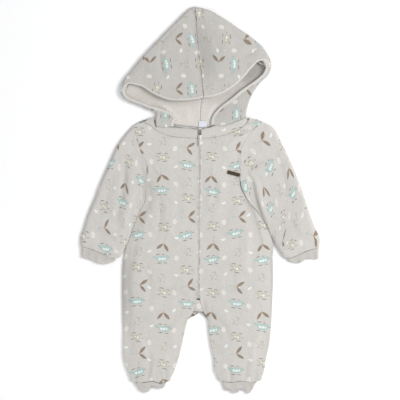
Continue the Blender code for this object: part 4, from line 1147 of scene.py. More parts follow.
@dataclass
class FlatTube:
    """A tube of cloth laid flat: a sleeve or a rib cuff."""

    name: str
    sections: Table
    first: Table
    last: Table
    heights: tuple[float, float]
    side: float = 8.0
    billow: float = 1.6
    spaces: int = 46
    under_spaces: int = 26
    step: float = 2.6
    ends: tuple[TurnedEdge, TurnedEdge] = (FLAT_SEAM, FLAT_SEAM)
    upper: Callable[[Array, Array], Array] | None = None
    wall: float = JERSEY_WALL
    upright: bool = False

    def stations(self, length: float, height: float, drop: float) -> tuple[Array, Array, Array]:
        """Go once round the tube.

        Args:
            length: Width of the flat tube there.
            height: Its height there.
            drop: How far the row is turned in.

        Returns:
            Distances across, heights, and which stations lie on the upper face.
        """
        angles = np.linspace(0.0, np.pi / 2.0, QUARTER_SPACES + 1)
        half = height / 2.0
        side = min(self.side, length * 0.3)
        turned = drop + (side - drop) * (1.0 - np.cos(angles))
        swell = (half - drop) * np.sin(angles)
        top = np.linspace(side, length - side, self.spaces + 1)[1:-1]
        low = np.linspace(length - side, side, self.under_spaces + 1)[1:-1]
        places = [turned, top, length - turned[::-1], length - turned[1:], low, turned[::-1]]
        heights = [half + swell, np.full(len(top), height - drop), half + swell[::-1]]
        heights += [half - swell[1:], np.full(len(low), drop), half - swell[::-1]]
        upper = [np.sin(angles), np.ones(len(top)), np.sin(angles[::-1])]
        upper += [np.zeros(len(angles) - 1), np.zeros(len(low)), np.zeros(len(angles))]
        return np.concatenate(places), np.concatenate(heights), np.concatenate(upper)

    def grid(self) -> ClothGrid:
        """Lay the tube out, open at both ends."""
        net = PlanNet(self.sections, self.first, self.last)
        places, drops = across(net.length, self.ends, int(net.length / self.step))
        points, cut, uppers, along = [], [], [], []
        for line, place, drop in zip(net.lines(places), places, drops):
            length = chords(line)[-1]
            share = place / net.length
            height = self.heights[0] + (self.heights[1] - self.heights[0]) * share
            stations, heights, upper = self.stations(length - 2.0 * net.trim, height, drop)
            plan = walk(line, stations + net.trim)
            points.append(lifted(plan, heights))
            uppers.append(upper)
            round_it = np.concatenate([stations[:, None], heights[:, None]], axis=1)
            cut.append(np.stack([chords(round_it), np.full(len(stations), -place)], axis=1))
            along.append(np.full(len(stations), place))
        points, cut = np.array(points), np.array(cut)
        uppers, along = np.array(uppers), np.array(along)
        plan = points[..., :2]
        near = points[..., 2]
        shape = self.upper(cut[..., 0], along) if self.upper else self.soft(plan, along, net.length)
        points[..., 2] = np.maximum(near + shape * uppers**3, 1.6 * uppers)
        if self.upright:
            cut = cut @ self.lie_of(cut[uppers > 0.9], plan[uppers > 0.9])
        return ClothGrid(
            self.name,
            points,
            cut,
            wraps=True,
            face_up=(len(places) // 2, QUARTER_SPACES + 1 + self.spaces // 2),
            wall=self.wall,
            marks={TROUGH_SHADE: pressed(plan, self.name) * uppers},
        )

    def lie_of(self, cut: Array, plan: Array) -> Array:
        """Return the turn that lays the flat cut's upper face as nearly as can be on the plan."""
        mixed = (cut - cut.mean(0)).T @ (plan - plan.mean(0))
        left, _, right = np.linalg.svd(mixed)
        return left @ right

    def soft(self, plan: Array, along: Array, length: float) -> Array:
        """Return the soft rise and the creases of a sleeve's upper face."""
        inside = smoothstep(along / 40.0) * smoothstep((length - along) / 35.0)
        return self.billow * inside + ripple(plan, 1.6) - pressed(plan, self.name)

    def build(self, material: Material, slot: Slot, hold: Hold) -> Piece:
        return sew(self.grid(), material, self.name)


def gathered_rib(round_it: Array, along: Array) -> Array:
    """Return the ribs of a cuff and the soft waves where its end is drawn in."""
    ribs = 0.34 * (np.cos(2.0 * np.pi * round_it / RIB_PITCH) - 1.0)
    waves = 0.9 * np.sin(round_it / 3.1 + along / 7.0) + 0.6 * np.sin(round_it / 5.3 + 1.1)
    return ribs + waves * smoothstep(along / 12.0) * 0.7


@dataclass
class FlatStrip(LaidSheet):
    """A narrow piece laid flat on the front's level: a neck band or the crotch gusset."""

    name: str
    sections: Table
    top: float
    rise_from: float = 0.0
    rise: float = 0.0
    spaces: int = 14
    step: float = 2.4
    low_seam: Table = ()
    up_seam: Table = ()
    draw: float = 6.0

    def drawn_up(self) -> Array:
        """Return the sections with both long edges drawn up to the seams that they are sewn into."""
        sections = np.array(self.sections, float)
        for columns, seam in ((slice(2, 4), self.low_seam), (slice(0, 2), self.up_seam)):
            if not len(seam):
                continue
            line = smooth_line(seam, 401)[:, :2]
            gaps = np.linalg.norm(sections[:, None, columns] - line[None], axis=2)
            close = gaps.min(axis=1) < self.draw
            sections[close, columns] = line[gaps.argmin(axis=1)[close]]
        return sections

    def grid(self) -> ClothGrid:
        """Lay the strip out."""
        net = PlanNet(self.drawn_up())
        rows = across(net.length, (FLAT_SEAM, FLAT_SEAM), int(net.length / self.step))
        plan, drops, near, far = net.spread(rows, (FLAT_SEAM, FLAT_SEAM), self.spaces)
        risen = smoothstep((rows[0] + self.rise_from) / RISE_WIDTH)[:, None]
        face = self.top - self.rise * (1.0 - risen) + np.zeros(plan.shape[:-1])
        soft = smoothstep(near / 5.0) * smoothstep(far / 5.0)
        trough = pressed(plan, self.name)
        face = face + soft * (0.5 + ripple(plan, 0.8)) - trough
        return ClothGrid(self.name, lifted(plan, face - drops), plan, marks={TROUGH_SHADE: trough})


@dataclass
class HoodHalf:
    """One half of the hood or of its lining: an under layer, a fold at the side, a rim and a crown."""

    name: str
    lip: Table
    crown: Table
    hem: Table
    seam: Table
    nape: Table
    inset: float = 0.0
    lining: bool = False
    first_row: int = 0
    wall: float = JERSEY_WALL
    fold_radius: float = 4.5
    hem_radius: float = 2.4
    set_back: float = 3.0
    hem_width: float = 9.5
    upper_hem_width: float = 6.5
    step: float = 2.5
    under_spaces: int = 34
    rim_spaces: int = 7
    crown_spaces: int = 56
    nape_row: int = 2
    count: int = field(init=False)
    rim_reach: float = field(init=False)
    fine: Array = field(init=False)
    hem_line: Array = field(init=False)
    folds: Array = field(init=False)
    backs: Array = field(init=False)
    fold_heights: Array = field(init=False)
    rims: Array = field(init=False)
    rim_heights: Array = field(init=False)
    seams: Array = field(init=False)
    seam_heights: Array = field(init=False)
    knots: Array = field(init=False)
    inward: Array = field(init=False)

    def __post_init__(self) -> None:
        """Turn the tables into curves."""
        self.fine = np.linspace(0.0, 1.0, 101)
        lip, crown = np.array(self.lip, float), np.array(self.crown, float)
        self.count = len(lip)
        self.hem_line = smooth_line(self.hem, 101)
        self.rim_reach = float(np.linalg.norm(np.array(self.hem[1]) - np.array(self.hem[0])))
        self.folds = np.concatenate([lip[:, 0:2], crown[:, 0:2]])
        self.backs = np.concatenate([lip[:, 4:6], crown[:, 4:6]])
        self.fold_heights = np.concatenate([lip[:, 6], crown[:, 6]])
        share = math.sin(0.5 * math.pi * self.rim_reach / FIRST_CROWN_ROW)
        end_height = crown[0, 6] + (crown[0, 7] - crown[0, 6]) * share
        self.rims = np.concatenate([lip[:, 2:4], [self.hem[1]]])
        self.rim_heights = np.append(lip[:, 7], end_height)
        self.seams, self.seam_heights = crown[:, 2:4], crown[:, 7]
        fold_along = chords(self.folds)
        ends = np.concatenate([chords(self.rims), chords(self.rims)[-1] + chords(self.seams)[1:]])
        self.knots = (fold_along + ends) / 2.0
        self.inward = self.inward_normals()

    def inward_normals(self) -> Array:
        """Return unit vectors square to the fold, towards the middle of the hood."""
        along = np.gradient(self.folds, axis=0)
        square = np.stack([along[:, 1], -along[:, 0]], axis=1)
        square /= np.linalg.norm(square, axis=1)[:, None]
        return square * np.sign(np.sum(square * (self.backs - self.folds)))

    def row_stations(self) -> tuple[Array, Array, Array, int, int]:
        """Place the rows.

        Returns:
            Distances of the rows for the sides, distances and drops of the same rows for the crown, the
            number of rows before the crown's first full one, and the row of the nape.
        """
        hem_place = self.knots[self.count]
        nape_place = self.knots[self.nape_row]
        angles = np.linspace(0.0, np.pi, 2 * ROLL_SPACES + 1)
        turned = self.hem_radius * (1.0 - np.sin(angles))
        turned_drop = self.hem_radius * (1.0 + np.cos(angles))
        first = self.knots[self.first_row]
        low = np.linspace(first, nape_place, max(2, int((nape_place - first) / self.step) + 1))
        low = low[:-1] if first < nape_place else low[:0]
        last_low = self.knots[self.count - 1]
        lip = np.linspace(nape_place, last_low, int((last_low - nape_place) / self.step) + 1)
        between = np.linspace(last_low, hem_place, ROLL_SPACES + 2)[1:]
        crown_length = self.knots[-1] - hem_place
        rest = np.linspace(self.hem_radius, crown_length, int(crown_length / self.step))
        close = crown_length - np.array([4.0, 2.6, 1.5, 0.7, 0.2])
        rest = np.unique(np.concatenate([rest, close, [crown_length]]))
        back, front = turned[: ROLL_SPACES + 1], turned[ROLL_SPACES + 1 : -1]
        back_drop, front_drop = turned_drop[: ROLL_SPACES + 1], turned_drop[ROLL_SPACES + 1 : -1]
        side = np.concatenate([low, lip, between, hem_place + front, hem_place + rest])
        none = np.zeros(len(low) + len(lip))
        crown = np.concatenate([none, back, front, rest])
        drop = np.concatenate([none, back_drop, front_drop, np.zeros(len(rest))])
        return side, crown, drop, len(low) + len(lip) + ROLL_SPACES, len(low)

    def rows_of(self, table: Array, knots: Array, places: Array) -> Array:
        """Return smooth values of a table at these places."""
        rows = np.asarray(table, float).reshape(len(knots), -1)
        return smooth_through(rows, knots, np.clip(places, knots[0], knots[-1]))

    def top_line(self, place: float, fold: Array) -> Array:
        """Return the fine plan line of the upper layer, from the fold to the rim or to the centre seam."""
        index = np.interp(place, self.knots, np.arange(len(self.knots)))
        if self.beside_mouth(place):
            end = self.rows_of(self.rims, self.knots[: self.count + 1], np.array([place]))[0]
            line = fold + self.fine[:, None] * (end - fold)
            seam = smooth_line(self.seam, 101)
            straight = seam[0] + self.fine[:, None] * (seam[-1] - seam[0])
            return line + (seam - straight) * max(0.0, 1.0 - index / 2.5)
        end = self.rows_of(self.seams, self.knots[self.count :], np.array([place]))[0]
        line = fold + self.fine[:, None] * (end - fold)
        straight = self.hem_line[0] + self.fine[:, None] * (self.hem_line[-1] - self.hem_line[0])
        return line + (self.hem_line - straight) * max(0.0, 1.0 - (index - self.count) / 4.5) ** 1.5

    def under_line(self, place: float, fold: Array, back: Array) -> Array:
        """Return the fine plan line of the under layer, from the fold to the centre of the back."""
        index = np.interp(place, self.knots, np.arange(len(self.knots)))
        line = fold + self.fine[:, None] * (back - fold)
        nape = smooth_line(self.nape, 101)
        straight = nape[0] + self.fine[:, None] * (nape[-1] - nape[0])
        fade = max(0.0, 1.0 - (index - self.nape_row) / 3.0) ** 1.5
        return line + (nape - straight) * fade * (index >= self.nape_row)

    def grid(self) -> ClothGrid:
        """Lay the half out round its fold."""
        side, crown_places, crown_drops, hem_row, nape_row = self.row_stations()
        rows, cuts = [], []
        normals = self.rows_of(self.inward, self.knots, side)
        folds = self.rows_of(self.folds, self.knots, side) + self.inset * normals
        backs = self.rows_of(self.backs, self.knots, side)
        heights = self.rows_of(self.fold_heights, self.knots, side)[:, 0]
        hem_place = self.knots[self.count]
        for r, place in enumerate(side):
            row, cut = self.side_part(place, folds[r], backs[r], heights[r], self.knots[-1] - place)
            own = hem_place + crown_places[r]
            if r >= hem_row - ROLL_SPACES:
                fold = self.rows_of(self.folds, self.knots, np.array([own]))[0]
                fold = fold + self.inset * self.rows_of(self.inward, self.knots, np.array([own]))[0]
                tall = self.rows_of(self.fold_heights, self.knots, np.array([own]))[0, 0]
                top, top_cut = self.crown_part(own, fold, tall, crown_drops[r], self.knots[-1] - own)
            else:
                top, top_cut = self.turned_rim(place, folds[r], heights[r])
            rows.append(np.concatenate([row, top]))
            cuts.append(np.concatenate([cut, top_cut]))
        points, cut = np.array(rows), np.array(cuts)
        marks = self.add_softness(points, hem_row)
        kept = self.kept_faces(points.shape, hem_row, nape_row)
        cut = np.stack([cut[..., 1], -cut[..., 0]], axis=-1)
        middle = self.under_spaces // 2
        return ClothGrid(
            self.name,
            points,
            cut,
            kept,
            face_up=(points.shape[0] // 2, middle),
            up=1.0 if self.lining else -1.0,
            wall=self.wall,
            marks=marks,
        )

    def beside_mouth(self, place: float) -> bool:
        """Tell whether a row lies beside the hood's mouth, before its crown begins."""
        return place < self.knots[self.count] - 1e-6

    def reach_of(self, place: float, length: float) -> float:
        """Return how far the rim's band goes in from the fold."""
        if self.beside_mouth(place):
            return length - (self.set_back if self.lining else 0.0)
        return max(min(self.rim_reach, 0.3 * length), 0.5 * min(self.fold_radius, 0.5 * length) + 2.0)

    def heights_at(self, place: float, places: Array, length: float, tall: float) -> tuple[float, Array]:
        """Return half the height at the fold and the top's extra rise at places across the row."""
        if self.beside_mouth(place):
            end = self.rows_of(self.rim_heights, self.knots[: self.count + 1], np.array([place]))[0, 0]
        else:
            end = self.rows_of(self.seam_heights, self.knots[self.count :], np.array([place]))[0, 0]
        return tall / 2.0, (end - tall) * np.sin(np.clip(places / length, 0.0, 1.0) * np.pi / 2.0)

    def end_closing(self, remaining: float) -> float:
        """Return how much of its height the hood still has near its peak."""
        radius = 4.5
        inside = np.clip(radius - remaining, 0.0, radius) / radius
        return float(np.sqrt(max(1.0 - inside * inside, 0.0)) * 0.94 + 0.06)

    def side_part(
        self, place: float, fold: Array, back: Array, tall: float, remaining: float
    ) -> tuple[Array, Array]:
        """Lay out one row's under layer, fold and rim band."""
        top = self.top_line(place, fold)
        length = chords(top)[-1]
        radius = min(self.fold_radius, 0.5 * max(length - 1.5, 0.8))
        reach = max(self.reach_of(place, length), radius + 0.8)
        angles = np.linspace(0.0, np.pi / 2.0, QUARTER_SPACES + 1)
        half = tall / 2.0
        closing = self.end_closing(remaining)
        under = self.under_line(place, fold, back)
        under_length = chords(under)[-1]
        bend = radius * (1.0 - np.cos(angles[::-1]))[1:]
        low_places = np.concatenate([np.linspace(under_length, radius, self.under_spaces + 1), bend])
        low_swell = np.concatenate([np.ones(self.under_spaces + 1), np.sin(angles[::-1])[1:]])
        low_z = half - (half - self.inset) * low_swell * closing
        lower = lifted(walk(under, low_places), low_z)
        edge = min(self.hem_radius, 0.5 * (reach - radius))
        roll = np.linspace(np.pi, np.pi / 2.0, ROLL_SPACES + 1)
        rim_places = np.linspace(radius, reach - edge, self.rim_spaces + 1)
        up_bend = radius * (1.0 - np.cos(angles))[1:]
        up_places = np.concatenate([up_bend, rim_places[1:], reach - edge * (1.0 - np.sin(roll))[1:]])
        up_swell = np.concatenate([np.sin(angles)[1:], np.ones(len(up_places) - len(angles) + 1)])
        _, rise = self.heights_at(place, up_places, length, tall)
        up_z = half + (half + rise - self.inset) * up_swell * closing
        if self.beside_mouth(place) and not self.lining:
            drop = edge * (1.0 + np.cos(roll))[1:]
            up_z[-len(drop) :] -= drop
        upper = lifted(walk(top, up_places), up_z)
        points = np.concatenate([lower, upper])
        return points, self.unfolded(points, fold, top, len(lower))

    def unfolded(self, points: Array, fold: Array, top: Array, under: int) -> Array:
        """Return where a row's points were before the cloth was folded."""
        out = fold - top[5]
        out /= np.linalg.norm(out)
        along = chords(points)
        flat = points[:, :2].copy()
        middle = along[under - 1]
        extra = np.linalg.norm(flat - fold, axis=1)
        turn = np.array([-out[1], out[0]])
        below = flat[:under] - fold
        mirrored = 2.0 * (below @ turn)[:, None] * turn - below
        flat[:under] = fold + mirrored
        slack = np.abs(along - middle) - extra
        slack = np.clip(slack, 0.0, 12.0)
        flat[:under] += slack[:under, None] * out
        flat[under:] -= slack[under:, None] * out
        return flat

    def turned_rim(self, place: float, fold: Array, tall: float) -> tuple[Array, Array]:
        """Lay out the part of the rim that is turned in, and park the crown's columns behind it."""
        top = self.top_line(place, fold)
        length = chords(top)[-1]
        radius = min(self.fold_radius, 0.5 * max(length - 1.5, 0.8))
        reach = max(self.reach_of(place, length), radius + 0.8)
        edge = min(self.hem_radius, 0.5 * (reach - radius))
        roll = np.linspace(np.pi / 2.0, 0.0, ROLL_SPACES + 1)[1:]
        places = np.append(reach - edge * (1.0 - np.sin(roll)), reach - edge - 1.2)
        half, rise = self.heights_at(place, places, length, tall)
        heights = half + half + rise - self.inset - np.append(edge * (1.0 + np.cos(roll)), 2.0 * edge)
        turned = lifted(walk(top, places), heights)
        rest = self.crown_spaces + 2 * (FLAT_SEAM.steps + 1) - len(turned)
        points = np.concatenate([turned, np.repeat(turned[-1:], rest, axis=0)])
        return points, points[:, :2]

    def crown_part(
        self, place: float, fold: Array, tall: float, drop: float, remaining: float
    ) -> tuple[Array, Array]:
        """Lay out one row of the crown, from the rim band to the turned edge of the centre seam."""
        top = self.top_line(place, fold)
        length = chords(top)[-1]
        reach = self.reach_of(place, length)
        seam, seam_drop = FLAT_SEAM.stations()
        end = length - SEAM_GAP / 2.0
        radius = min(FLAT_SEAM.radius, 0.4 * max(end - reach, 0.1))
        shrink = radius / FLAT_SEAM.radius
        inner = np.linspace(reach, end - radius, self.crown_spaces + 2)[1:]
        places = np.concatenate([inner, end - (seam * shrink)[::-1][1:]])
        drops = np.concatenate([np.zeros(len(inner)), (seam_drop * shrink)[::-1][1:]])
        half, rise = self.heights_at(place, places, length, tall)
        heights = half + (half + rise - self.inset) * self.end_closing(remaining)
        heights = heights - np.maximum(drops, drop)
        points = lifted(walk(top, places), heights)
        return points, points[:, :2]

    def kept_faces(self, shape: tuple[int, ...], hem_row: int, nape_row: int) -> Array:
        """Mark the faces of the grid that are cloth."""
        kept = np.zeros((shape[0] - 1, shape[1] - 1))
        fold_column = self.under_spaces + QUARTER_SPACES
        rim_column = fold_column + QUARTER_SPACES + self.rim_spaces + ROLL_SPACES
        kept[nape_row:, :fold_column] = 1
        kept[:, fold_column:rim_column] = 1
        if not self.lining:
            kept[: hem_row - 1, rim_column : rim_column + ROLL_SPACES + 1] = 1
            kept[hem_row - ROLL_SPACES : hem_row, rim_column + ROLL_SPACES + 2 :] = 1
            kept[hem_row:, rim_column:] = 1
        else:
            kept[hem_row + ROLL_SPACES + 1 :, rim_column:] = 1
        return kept

    def add_softness(self, points: Array, hem_row: int) -> dict[str, Array]:
        """Press the creases into the upper layer, and mark them on the lining where it shows in the mouth,
        where a trough sinks the cloth by at most 0.3 mm and is mostly painted shade.

        Args:
            points: The half's points, whose heights are changed.
            hem_row: The crown's first row.

        Returns:
            How deep the creases are, which the finishes paint as shade and highlight, and how near each point
            is to the mouth's hem.
        """
        fold_column = self.under_spaces + QUARTER_SPACES
        first_up = fold_column + QUARTER_SPACES
        side = self.name.split("_")[1]
        trough = np.zeros(points.shape[:2])
        hem = np.zeros(points.shape[:2])
        upper = points[:, first_up:]
        plan = upper[..., :2]
        trough[:, first_up:] = pressed(plan, "hood_" + side)
        upper[..., 2] += 1.5 * ripple(plan, 1.0, 4.0) - trough[:, first_up:]
        mouth = np.concatenate([smooth_line(self.rims, 61), self.hem_line])
        gaps = np.linalg.norm(plan.reshape(-1, 1, 2) - mouth[None], axis=2)
        gaps = gaps.min(axis=1).reshape(plan.shape[:2])
        width = np.where(np.arange(len(points)) < hem_row, self.hem_width, self.upper_hem_width)
        hem[:, first_up:] = 1.0 - gaps / width[:, None]
        if self.lining:
            lower = points[:, :fold_column]
            plan = lower[..., :2]
            trough[:, :fold_column] = pressed(plan, "under_" + side)
            lower[..., 2] += np.maximum(ripple(plan, 0.9, 6.0) - trough[:, :fold_column], -0.3)
        return {TROUGH_SHADE: trough, HEM: hem}

    def build(self, material: Material) -> Piece:
        grid = self.grid()
        cloth = grid.raise_mesh()
        loose = [vert for vert in cloth.verts if not vert.link_faces]
        bmesh.ops.delete(cloth, geom=loose, context="VERTS")
        if self.lining:
            fluff(cloth)
        return sew(grid, material, self.name, cloth)


def fluff(cloth: Cloth) -> None:
    """Stand the pile of the plush up in small soft tufts."""
    cloth.normal_update()
    for vert in cloth.verts:
        place = vert.co / MM
        tuft = noise.noise(Vector((place.x / 4.2, place.y / 4.2, place.z / 4.2)))
        tuft += 0.5 * noise.noise(Vector((place.x / 2.1, place.y / 2.1, 5.0 + place.z / 2.1)))
        vert.co += vert.normal * (0.38 * tuft * MM)


Number = Union["Signal", float]


class Signal:
    """A number that changes over a surface: a shader socket that Python's operators work on."""

    def __init__(self, board: "ShaderBoard", socket: Socket) -> None:
        """Keep the socket and the board that its nodes go on."""
        self.board = board
        self.socket = socket

    def __add__(self, other: Number) -> "Signal":
        """Return the sum."""
        return self.board.math("ADD", self, other)

    __radd__ = __add__

    def __sub__(self, other: Number) -> "Signal":
        """Return the difference."""
        return self.board.math("SUBTRACT", self, other)

    def __rsub__(self, other: Number) -> "Signal":
        """Return the other number less this one."""
        return self.board.math("SUBTRACT", other, self)

    def __mul__(self, other: Number) -> "Signal":
        """Return the product."""
        return self.board.math("MULTIPLY", self, other)

    __rmul__ = __mul__

    def __neg__(self) -> "Signal":
        """Return the number with its sign turned."""
        return self.board.math("MULTIPLY", self, -1.0)

    def __abs__(self) -> "Signal":
        """Return the number without its sign."""
        return self.board.math("ABSOLUTE", self)

    def floor(self) -> "Signal":
        """Return the whole number below."""
        return self.board.math("FLOOR", self)

    def sine(self) -> "Signal":
        """Return the sine."""
        return self.board.math("SINE", self)

    def cosine(self) -> "Signal":
        """Return the cosine."""
        return self.board.math("COSINE", self)

    def most(self, other: Number) -> "Signal":
        """Return the larger of two numbers."""
        return self.board.math("MAXIMUM", self, other)

    def modulo(self, other: Number) -> "Signal":
        """Return the remainder of a floored division."""
        return self.board.math("FLOORED_MODULO", self, other)

    def held(self) -> "Signal":
        """Return the number kept between 0 and 1."""
        return self.board.math("ADD", self, 0.0, clamp=True)

    def near(self, target: float) -> "Signal":
        """Return 1 where a whole number is this one, and 0 elsewhere."""
        return self.board.math("COMPARE", self, target, 0.5)


class ShaderBoard:
    """The node tree of one finish, with its principled shader."""

    def __init__(self, name: str, **constants: float) -> None:
        """Start a finish whose unchanging values are set on the shader's own sockets."""
        self.material = bpy.data.materials.new(name)
        self.material.use_nodes = True
        self.tree = self.material.node_tree
        self.shader = self.tree.nodes["Principled BSDF"]
        for socket, value in constants.items():
            self.shader.inputs[socket.replace("_", " ")].default_value = value

    def node(self, kind: str, settings: dict | None = None, inputs: dict | None = None) -> bpy.types.Node:
        """Add a node.

        Args:
            kind: Its type.
            settings: Properties to set first.
            inputs: Values, signals or sockets for its inputs, by name or number.

        Returns:
            The node.
        """
        made = self.tree.nodes.new(kind)
        for key, value in (settings or {}).items():
            setattr(made, key, value)
        for key, value in (inputs or {}).items():
            self.feed(made.inputs[key], value)
        return made

    def feed(self, socket: Socket, value: object) -> None:
        """Give a socket a value or link."""
        if isinstance(value, Signal):
            value = value.socket
        if isinstance(value, Socket):
            self.tree.links.new(value, socket)
        else:
            socket.default_value = value

    def math(self, operation: str, *values: Number, clamp: bool = False) -> Signal:
        """Add one Math node."""
        made = self.node(
            "ShaderNodeMath", {"operation": operation, "use_clamp": clamp}, dict(enumerate(values))
        )
        return Signal(self, made.outputs[0])

    def mix(self, factor: Number, first: object, second: object) -> Socket:
        """Mix two colours."""
        made = self.node("ShaderNodeMix", {"data_type": "RGBA"}, {0: factor})
        self.feed(made.inputs[6], first)
        self.feed(made.inputs[7], second)
        return made.outputs[2]

    def shade(self, colour: object, amount: Number) -> Socket:
        """Darken or lighten a colour by a share that changes over the surface."""
        made = self.node("ShaderNodeVectorMath", {"operation": "SCALE"}, {0: colour, "Scale": amount})
        return made.outputs[0]

    def mark(self, name: str) -> Signal:
        """Return one of the piece's own marks, 0 where it has none."""
        return Signal(self, self.node("ShaderNodeAttribute", {"attribute_name": name}, {}).outputs[2])

    def cut(self) -> tuple[Signal, Signal]:
        """Return the place in the flat cut, in millimetres."""
        where = self.node("ShaderNodeUVMap", {"uv_map": CUT_MAP}).outputs[0]
        split = self.node("ShaderNodeSeparateXYZ", {}, {0: where})
        return Signal(self, split.outputs[0]) * 1000.0, Signal(self, split.outputs[1]) * 1000.0

    def place(self, scale: tuple[float, float, float] = (1.0, 1.0, 1.0)) -> Socket:
        """Return the place on the object, stretched along each axis."""
        where = self.node("ShaderNodeTexCoord").outputs["Object"]
        made = self.node("ShaderNodeMapping", {}, {"Vector": where, "Scale": scale})
        return made.outputs[0]

    def cloud(self, where: Socket, scale: float, detail: float = 2.0) -> Signal:
        """Return soft noise around a half."""
        made = self.node("ShaderNodeTexNoise", {}, {"Vector": where, "Scale": scale, "Detail": detail})
        return Signal(self, made.outputs[0])

    def finish(
        self, colour: object, rough: Number | None = None, height: Signal | None = None, depth: float = 0.0003
    ) -> Material:
        """Link the changing values to the shader.

        Args:
            colour: Base colour.
            rough: Roughness.
            height: Height of the surface's fine relief, from 0 to 1.
            depth: Depth of that relief in metres.

        Returns:
            The finished material.
        """
        self.feed(self.shader.inputs["Base Color"], colour)
        if rough is not None:
            self.feed(self.shader.inputs["Roughness"], rough)
        if height is not None:
            bump = self.node("ShaderNodeBump", {}, {"Strength": 1.0, "Distance": depth, "Height": height})
            self.feed(self.shader.inputs["Normal"], bump.outputs[0])
        return self.material


def paint(red: int, green: int, blue: int) -> Colour:
    """Turn a colour seen on a screen into the shader's linear one."""
    parts = [value / 255.0 for value in (red, green, blue)]
    linear = [p / 12.92 if p <= 0.04045 else ((p + 0.055) / 1.055) ** 2.4 for p in parts]
    return (*linear, 1.0)


@dataclass(frozen=True)
class Mark:
    """One soft-edged patch of a printed motif, in millimetres from the motif's middle."""

    x: float
    y: float
    length: float
    width: float
    turn: float = 0.0
    pointed: bool = False

    def cover(self, x: Signal, y: Signal, blur: float = 0.45) -> Signal:
        """Return how far the mark covers a place, from 0 to 1."""
        cosine, sine = math.cos(self.turn), math.sin(self.turn)
        dx, dy = x - self.x, y - self.y
        if self.turn:
            along = dx * (cosine / self.length) + dy * (sine / self.length)
            over = dy * (cosine / self.width) - dx * (sine / self.width)
        else:
            along, over = dx * (1.0 / self.length), dy * (1.0 / self.width)
        if self.pointed:
            inside = 1.0 - along * along - abs(over)
        else:
            inside = 1.0 - (along * along + over * over)
        return (inside * (0.5 * self.width / blur)).held()


@dataclass(frozen=True)
class Ink:
    """One colour of a motif and the marks printed in it."""

    colour: Colour
    marks: tuple[Mark, ...]


@dataclass(frozen=True)
class Motif:
    """A small printed motif, laid down ink after ink."""

    inks: tuple[Ink, ...]
    strength: float = 1.0

    def print_on(
        self, board: ShaderBoard, base: Socket, x: Signal, y: Signal, chosen: Signal
    ) -> Socket:
        """Print the motif over a colour where it is chosen."""
        worn = (board.cloud(board.place(), 620.0, 3.0) * 1.1 + 0.36).held() * self.strength
        for ink in self.inks:
            cover = None
            for mark in ink.marks:
                one = mark.cover(x, y)
                cover = one if cover is None else cover.most(one)
            base = board.mix(cover * chosen * worn, base, ink.colour)
        return base


BROWN = paint(134, 116, 97)
TAN = paint(192, 170, 142)
TEAL = paint(160, 190, 185)
PALE_TEAL = paint(186, 205, 201)
WHITE_INK = paint(240, 242, 238)
CHARCOAL = paint(112, 108, 102)
OLIVE = paint(190, 186, 167)
DARK_OLIVE = paint(168, 163, 143)
CREAM = paint(235, 231, 223)
GREY_INK = paint(190, 188, 181)

LEAF_SPRIG = Motif(
    (
        Ink(TAN, (Mark(-3.0, 0.0, 6.0, 0.7), Mark(1.5, 0.0, 2.4, 1.5))),
        Ink(BROWN, (Mark(6.2, 5.8, 8.6, 2.9, 0.78, True), Mark(6.6, -5.4, 8.2, 2.7, -0.66, True))),
        Ink(
            TAN,
            (
                Mark(5.4, 5.1, 5.6, 0.35, 0.78),
                Mark(6.0, -4.9, 5.4, 0.35, -0.66),
                Mark(8.4, 6.4, 1.6, 0.3, 0.1),
                Mark(8.9, -5.6, 1.6, 0.3, 0.2),
            ),
        ),
        Ink(PALE_TEAL, (Mark(-10.5, 0.0, 2.4, 2.4),)),
        Ink(GREY_INK, (Mark(-10.5, 0.0, 1.3, 1.3),)),
    )
)
SMALL_BIRD = Motif(
    (
        Ink(
            TEAL,
            (
                Mark(0.0, 0.0, 9.4, 5.2),
                Mark(8.0, 2.8, 3.9, 3.4),
                Mark(-11.0, 1.8, 6.0, 2.3, -0.35, True),
            ),
        ),
        Ink(
            PALE_TEAL,
            (
                Mark(-0.2, 0.1, 8.2, 4.1),
                Mark(8.1, 2.9, 2.8, 2.3),
                Mark(-11.0, 1.9, 4.0, 1.1, -0.35, True),
            ),
        ),
        Ink(TEAL, (Mark(-1.4, 2.0, 4.6, 0.6, 0.15), Mark(2.6, -3.3, 3.4, 0.5, -0.1))),
        Ink(
            WHITE_INK,
            (
                Mark(-3.6, -0.7, 2.4, 2.3, 0.15),
                Mark(1.2, -0.5, 2.1, 2.4),
                Mark(5.4, 0.1, 1.6, 1.9),
            ),
        ),
        Ink(
            CHARCOAL,
            (
                Mark(-4.4, -7.4, 5.2, 0.95, 0.05),
                Mark(6.0, -7.0, 4.2, 0.9, -0.10),
                Mark(-6.9, 6.8, 4.6, 0.95, 0.16),
                Mark(12.6, 2.2, 2.8, 0.8, -0.10, True),
                Mark(2.4, 7.0, 3.2, 0.85),
                Mark(8.4, 3.3, 0.8, 0.8),
            ),
        ),
    )
)
SEED_POD = Motif(
    (
        Ink(OLIVE, (Mark(0.0, 0.0, 6.6, 4.6, 0.1), Mark(-8.4, 2.2, 4.6, 1.7, -0.5, True))),
        Ink(CREAM, (Mark(1.8, -0.4, 2.3, 2.7), Mark(-2.8, 0.4, 1.6, 1.9))),
        Ink(
            CHARCOAL,
            (
                Mark(-5.2, 6.6, 5.0, 0.95, 0.12),
                Mark(5.8, 6.0, 4.0, 0.9, -0.15),
                Mark(3.4, -6.6, 5.4, 0.95, 0.04),
                Mark(-7.0, -4.8, 3.6, 0.85, 0.3),
                Mark(9.8, -0.6, 2.6, 0.8, 0.2),
            ),
        ),
    )
)
